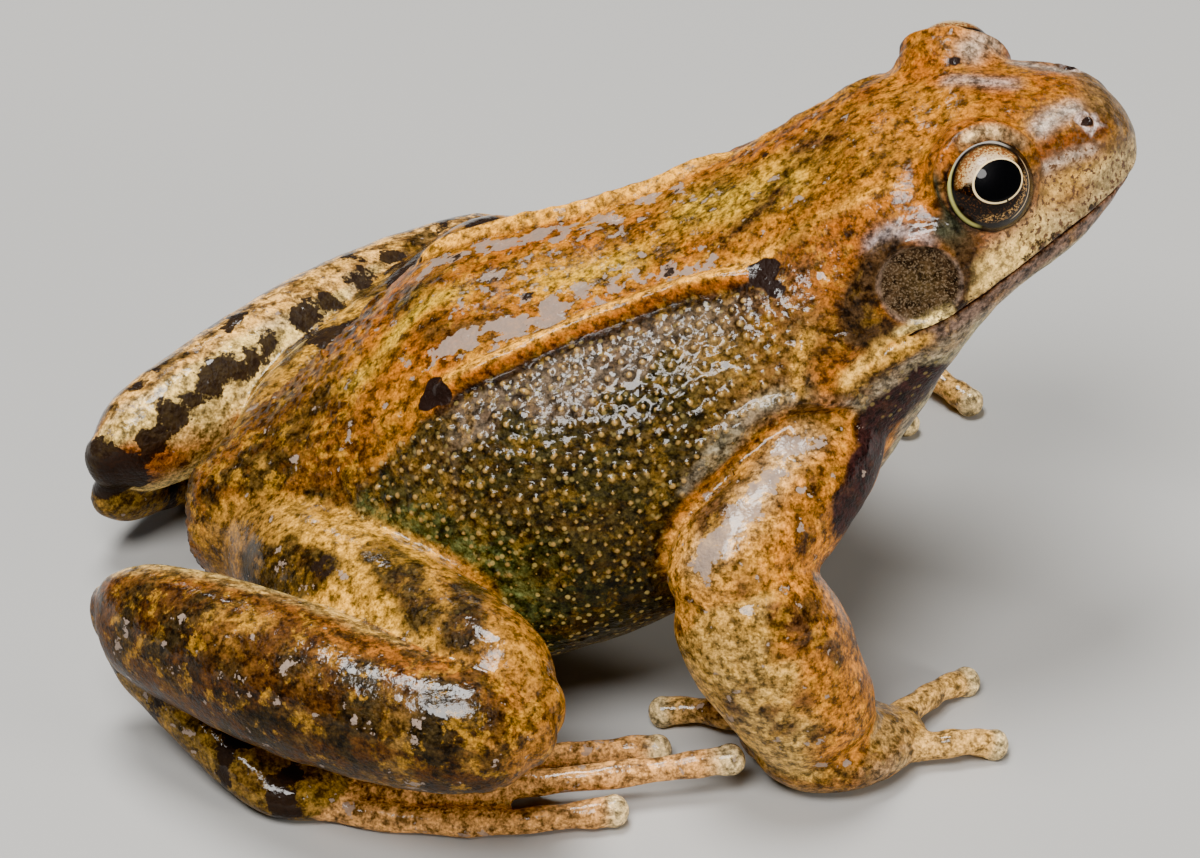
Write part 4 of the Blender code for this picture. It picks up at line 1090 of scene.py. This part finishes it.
# Where the skin is mottled, finely dotted over the gold warts' ground, or speckled as on the face.
mottle = 0.75 * body + 0.2 * rear - 0.45 * flank + 0.6 * arms + 0.1 * digits
mottle += 0.9 * legs * (1 - 0.4 * (names == "tarsus") - 0.45 * (names == "thigh"))
mottle = np.clip(mottle, 0, 1) * (1 - 0.5 * head) * (1 - in_ear) * (1 - 0.7 * cream_face)
mottle *= (1 - 0.75 * folded * bell(below, 0.1, 0.8)) * (1 - 0.85 * lids * fade(outside, 0.8, 1.4))
mottle *= (1 - 0.7 * face * fade(from_lip, 4, 5)) * (1 - 0.95 * chest_shade) * (1 - 0.85 * masked)
fine_dots = flank * (0.3 + 0.7 * low) + 0.3 * throat
speckle = np.clip(face + 0.5 * head * ramp(x, 56, 60), 0, 1) * ramp(from_lip, 0.2, 0.6)
speckle *= 0.4 + 0.6 * ramp(x + 1.5 * from_lip, 57, 62)
speckle -= 0.8 * in_ear
wet = 0.22 + 0.78 * ramp(upturned, 0.2, 0.5)           # the film drains off what faces down
wet *= 1 - 0.6 * body * fade(under, -0.5, 0.5)
wet *= (1 - 0.8 * folded * bell(below, 1.2, 0.6)) * (1 - 0.5 * in_ear)
# Painted reflections of the water film: a painted sheet of glare over the rear of the back, and scattered
# painted glare flakes elsewhere.
painted_sheen = -0.55 + 0.35 * body * (under < 0.5) * ramp(x, 14, 20)
painted_sheen -= 2 * np.maximum(flank, fade(upturned, 0.5, 0.7))
REAR_GLARE_SHEET = ((17.6, -5.0, 28.2), (20.5, -5.4, 29.2), (23.6, -5.2, 29.9), (26.0, -4.6, 30.7))
SIDE_GLARE_SHEET = ((18.7, 3.6, 28.5), (26.2, -3.4, 30.8), (30.4, -4.2, 32.1), (36.0, -4.8, 34.1))
for sheet in (1.25 * near_line(REAR_GLARE_SHEET, 1.3) - 0.3, 0.75 * near_line(SIDE_GLARE_SHEET, 1.8) - 0.3,
              1.1 * glare_line - 0.35):
    painted_sheen = np.maximum(painted_sheen, sheet)
painted_sheen -= 3 * (ramp(below, -0.9, -0.7) * body + head)
for name, values in {"mottle": mottle, "painted_sheen": painted_sheen, "mark": mark, "crisp": crisp, "fine_dots": fine_dots,
                     "speckle": speckle, "wet": wet}.items():
    skin.attributes.new(name, "FLOAT", "POINT").data.foreach_set("value", np.clip(values, NOWHERE, 1))
colours = np.column_stack((hide, np.ones(len(hide)))).ravel()
skin.attributes.new("hide", "FLOAT_COLOR", "POINT").data.foreach_set("color", colours)

skin_finish, tree, shader = finish("wet_frog_skin")
flat_map = node(tree, "TexCoord").outputs["Object"]


def laid_on(name, output="Fac"):
    """One of the values laid on the skin's points."""
    return node(tree, "Attribute", attribute_name=name).outputs[output]


def step_up(value, low, high, to_low=0.0, to_high=1.0):
    """Turns a value into a smooth step between two limits."""
    inputs = {0: value, 1: low, 2: high, 3: to_low, 4: to_high}
    return node(tree, "MapRange", inputs, interpolation_type="SMOOTHSTEP").outputs[0]


def maths(kind, first, second):
    """One sum on two values."""
    return node(tree, "Math", {0: first, 1: second}, operation=kind).outputs[0]


def times(first, second):
    """Two values multiplied."""
    return maths("MULTIPLY", first, second)


def plus(first, second):
    """Two values added."""
    return maths("ADD", first, second)


def minus(first, second):
    """The second value taken from the first."""
    return maths("SUBTRACT", first, second)


def over(share, under, top, how="MIX"):
    """One colour laid over another."""
    return node(tree, "Mix", {0: share, 6: under, 7: top}, data_type="RGBA", blend_type=how).outputs[2]


def cloudy(size, detail=3.0, roughness=0.55, places=flat_map, unit=1000):
    """Noise with lumps of a size in millimetres."""
    inputs = {"Vector": places, "Scale": unit / size, "Detail": detail, "Roughness": roughness}
    return node(tree, "TexNoise", inputs).outputs["Fac"]


def pebbled(size):
    """Rounded cells of a size in millimetres."""
    return node(tree, "TexVoronoi", {"Vector": flat_map, "Scale": 1000 / size}).outputs["Distance"]


def wire(**inputs):
    """Feeds the shader's sockets: a link for an output, a constant for a number."""
    for name, value in inputs.items():
        socket = shader.inputs[name.replace("_", " ")]
        if isinstance(value, float):
            socket.default_value = value
        else:
            tree.links.new(value, socket)


def bumps(strength, distance, height):
    """Fine relief, as a direction for the shader."""
    made = node(tree, "Bump", {"Strength": strength, "Distance": distance, "Height": height})
    return made.outputs["Normal"]


# Mottling: pale ochre clouds, dark streaks drawn out along the frog, and black-brown flecks.
coarse, fine, grainy = cloudy(3.0, 6.0, 0.68), cloudy(0.7, 5.0, 0.7), cloudy(0.22, 2.0)
drawn_out = node(tree, "Mapping", {"Vector": flat_map, "Rotation": (0, 0.45, 0), "Scale": (0.4, 1, 1)})
streaky = cloudy(1.7, 5.0, 0.65, drawn_out.outputs[0])
patchy = laid_on("mottle")
colour = laid_on("hide", "Color")
for share, tint in ((step_up(cloudy(1.8, 5.0, 0.7), 0.52, 0.60, 0.0, 0.5), (0.54, 0.26, 0.014, 1)),
                    (step_up(streaky, 0.50, 0.40, 0.0, 0.85), (0.075, 0.026, 0.004, 1)),
                    (step_up(coarse, 0.52, 0.60, 0.0, 0.9), (0.032, 0.018, 0.005, 1))):
    colour = over(times(patchy, share), colour, tint)
# The skin's grain, lighter and darker, then the painted glare flakes on the wet film, the gold dots and the
# tops of the warts.
speckled = laid_on("speckle")
shade = times(step_up(fine, 0.35, 0.65, 0.18, 1.55), step_up(grainy, 0.32, 0.68, 0.65, 1.25))
shades = node(tree, "CombineColor", {"Red": shade, "Green": shade, "Blue": shade}).outputs[0]
colour = over(minus(1.0, times(speckled, 0.3)), colour, shades, "MULTIPLY")
# painted glare: pale flakes of reflected light on the water film
glare_flakes = plus(laid_on("painted_sheen"), times(minus(cloudy(1.5, 4.0, 0.6), 0.5), 5.0))
colour = over(step_up(glare_flakes, 0.44, 0.54, 0.0, 0.8), colour, (0.34, 0.25, 0.195, 1))
dots = times(step_up(pebbled(0.75), 0.30, 0.16), step_up(cloudy(1.2), 0.38, 0.5))
colour = over(times(laid_on("fine_dots"), dots), colour, (0.44, 0.32, 0.09, 1))
warty = plus(laid_on("wart"), times(fine, 0.4))
colour = over(step_up(warty, 0.75, 1.15, 0.0, 0.75), colour, (0.46, 0.27, 0.07, 1))
# The ragged marks, the face's speckles, the ear's dust, and the crisp marks with the painted shade of the
# mouth's slit and the nostrils.
ragged = plus(times(minus(coarse, 0.5), 5.0), times(minus(fine, 0.5), 1.6))
marked = step_up(plus(laid_on("mark"), ragged), -0.12, 0.12, 0.0, 0.98)
colour = over(marked, colour, (0.016, 0.009, 0.006, 1))
colour = over(times(speckled, step_up(cloudy(0.34, 3.0), 0.53, 0.61)), colour, (0.10, 0.050, 0.025, 1))
dust = times(times(speckled, -1), step_up(cloudy(0.15, 2.0), 0.50, 0.66))
colour = over(dust, colour, (0.17, 0.115, 0.065, 1))
colour = over(step_up(laid_on("crisp"), -0.05, 0.05), colour, (0.014, 0.007, 0.005, 1))
pimples = plus(times(pebbled(0.42), -0.6), grainy)
wire(Base_Color=colour, Roughness=step_up(fine, 0.3, 0.7, 0.40, 0.65), Specular_IOR_Level=0.08,
     Normal=bumps(0.8, 0.00012, pimples))

# The wet film: smooth where it pools, broken by the skin's grain elsewhere.
pooled = step_up(cloudy(2.6, 5.0, 0.62), 0.48, 0.53)
film = plus(cloudy(1.6, 2.0, 0.5), times(times(minus(1.15, pooled), pimples), 0.14))
wire(Coat_Normal=bumps(0.6, 0.00025, film), Coat_Weight=laid_on("wet"), Coat_Roughness=0.035, Coat_IOR=1.37)
skin.materials.clear()
skin.materials.append(skin_finish)
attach(frog, "root")
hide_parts(*[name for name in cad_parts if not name.startswith("eye")])


# ==== The eyes ==================================================================================
# Each eye is a separate ball set in the lids, with the clear front a little steeper than the rest.
# The iris is gold above and near black below, round a wide, slightly tilted pupil with a gold rim.

GAZE = np.array((0.168, -0.773, 0.61)) / np.linalg.norm((0.168, -0.773, 0.61))
BULGE = 0.16                                    # how far the clear front stands out
TILT = math.radians(22)                         # the pupil's long axis rises towards the snout
PUPIL = (1.75, 1.42)                            # half its length and height
IRIS = (2.58, 2.72)                             # half its width and height
IRIS_CENTRE = (-0.25, -0.12, 0)
NOTCH = (0.58, -1.37, 0)                        # a small nick in the pupil's lower rim

in_the_eye, tree, shader = finish("frog_eye")
flat_map = laid_on("in_eye", "Vector")
parts = node(tree, "SeparateXYZ", {0: flat_map})
ahead, upwards = parts.outputs["X"], parts.outputs["Y"]


def vector_maths(kind, first, second):
    """One sum on two directions or places."""
    return node(tree, "VectorMath", {0: first, 1: second}, operation=kind).outputs["Vector"]


def off_centre(point):
    """How far a point lies from the middle of the eye."""
    return node(tree, "VectorMath", {0: point}, operation="LENGTH").outputs["Value"]


def leaning(right_share, up_share):
    """How far a point of the eye lies towards one side of it."""
    return plus(times(ahead, right_share), times(upwards, up_share))


def toward(right_share, up_share, low, high):
    """The same as a smooth step between two distances."""
    return step_up(leaning(right_share, up_share), low, high)


def band(value, low, high, soft):
    """1 between two limits, with soft edges."""
    return times(step_up(value, low - soft, low + soft), step_up(value, high + soft, high - soft))


turned = node(tree, "Mapping", {"Vector": flat_map, "Rotation": (0, 0, -TILT)}).outputs[0]
from_pupil = off_centre(vector_maths("MULTIPLY", turned, (1 / PUPIL[0], 1 / PUPIL[1], 0)))
centred = vector_maths("SUBTRACT", flat_map, IRIS_CENTRE)
from_iris = off_centre(vector_maths("MULTIPLY", centred, (1 / IRIS[0], 1 / IRIS[1], 0)))

# A dark rust ground, flecked with copper in front and below, and with pale gold over the top.
fleck, blotch = cloudy(0.16, 4.0, 0.7, flat_map, 1), cloudy(0.7, 4.0, 0.7, flat_map, 1)
colour = over(step_up(fleck, 0.54, 0.64, 0.0, 0.8), (0.005, 0.0025, 0.0015, 1), (0.08, 0.028, 0.006, 1))
copper = times(band(from_iris, 0.80, 0.97, 0.04), step_up(fleck, 0.50, 0.58))
colour = over(times(copper, toward(0.7, -0.7, 0.6, 1.4)), colour, (0.50, 0.27, 0.08, 1))
gilded = step_up(plus(leaning(-0.43, 0.90), times(minus(blotch, 0.5), 1.6)), 0.55, 0.95)
gold = over(step_up(from_iris, 0.62, 0.90), (0.62, 0.45, 0.27, 1), (0.50, 0.31, 0.10, 1))
rusty = step_up(plus(fleck, times(step_up(from_iris, 0.6, 1.0), 0.16)), 0.55, 0.63)
colour = over(times(gilded, step_up(from_iris, 0.975, 0.90, 0.25, 1.0)), colour,
              over(rusty, gold, (0.17, 0.055, 0.012, 1)))
# Beyond the iris: a black ring, silvery above behind, cream in front, a yellow-green sliver below behind.
colour = over(step_up(from_iris, 0.97, 1.0), colour, (0.006, 0.005, 0.004, 1))
for ring, way, tint in (((1.04, 1.12, 0.012), (-0.34, 0.94, 1.6, 2.2), (0.30, 0.28, 0.25, 1)),
                        ((1.035, 1.06, 0.008), (0.98, -0.17, 1.4, 2.0), (0.58, 0.40, 0.20, 1)),
                        ((1.05, 1.105, 0.02), (-0.94, -0.34, 1.7, 2.3), (0.50, 0.48, 0.14, 1))):
    colour = over(times(band(from_iris, *ring), toward(*way)), colour, tint)
# The pale rim of the pupil, with its notch, and the pupil.
colour = over(band(from_pupil, 1.0, 1.075, 0.012), colour, (0.88, 0.66, 0.34, 1))
notch = off_centre(vector_maths("SUBTRACT", vector_maths("MULTIPLY", flat_map, (1, 1, 0)), NOTCH))
opening = maths("MAXIMUM", step_up(from_pupil, 1.005, 0.99), step_up(notch, 0.10, 0.06))
colour = over(opening, colour, (0.002, 0.002, 0.0025, 1))
wire(Base_Color=colour, Roughness=0.45, Specular_IOR_Level=0.05, Coat_Weight=0.7, Coat_Roughness=0.015,
     Coat_IOR=1.3, Normal=bumps(0.4, 0.00006, fleck))

# The ball, in rings from its clear front to its back.
bends, turns = np.linspace(0, math.pi, 90)[1:-1], np.linspace(0, 2 * math.pi, 128, endpoint=False)
radius = EYE_RADIUS + BULGE * fade(bends, math.radians(20), math.radians(60))
height, width = radius * np.cos(bends), radius * np.sin(bends)
rings = np.stack((width[:, None] * np.cos(turns), width[:, None] * np.sin(turns),
                  np.repeat(height[:, None], len(turns), 1)), -1)
points, faces = roll(rings)
top, bottom = len(points), len(points) + 1
points = np.vstack((points, (0, 0, EYE_RADIUS + BULGE), (0, 0, -EYE_RADIUS)))
faces = faces[:-2]
last = top - len(turns)
for k in range(len(turns)):
    after = (k + 1) % len(turns)
    faces += [[top, after, k], [bottom, last + k, last + after]]

for side, mirror in SIDES.items():
    ball = bpy.data.meshes.new(f"eyeball_{side}")
    gaze, fore, upward = eye_frame(GAZE, mirror)
    world_points = EYE[side] + points @ np.stack((fore, upward, gaze))
    outward_faces = [face[::-1] for face in faces] if side == "right" else faces
    ball.from_pydata(((world_points - ORIGIN) * MM).tolist(), [], outward_faces)
    ball.attributes.new("in_eye", "FLOAT_VECTOR", "POINT").data.foreach_set("vector", points.ravel())
    ball.shade_smooth()
    ball.materials.append(in_the_eye)
    eyeball = put(f"eyeball_{side}", ball)
    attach(eyeball, "root")
    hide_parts(f"eye_{side}")
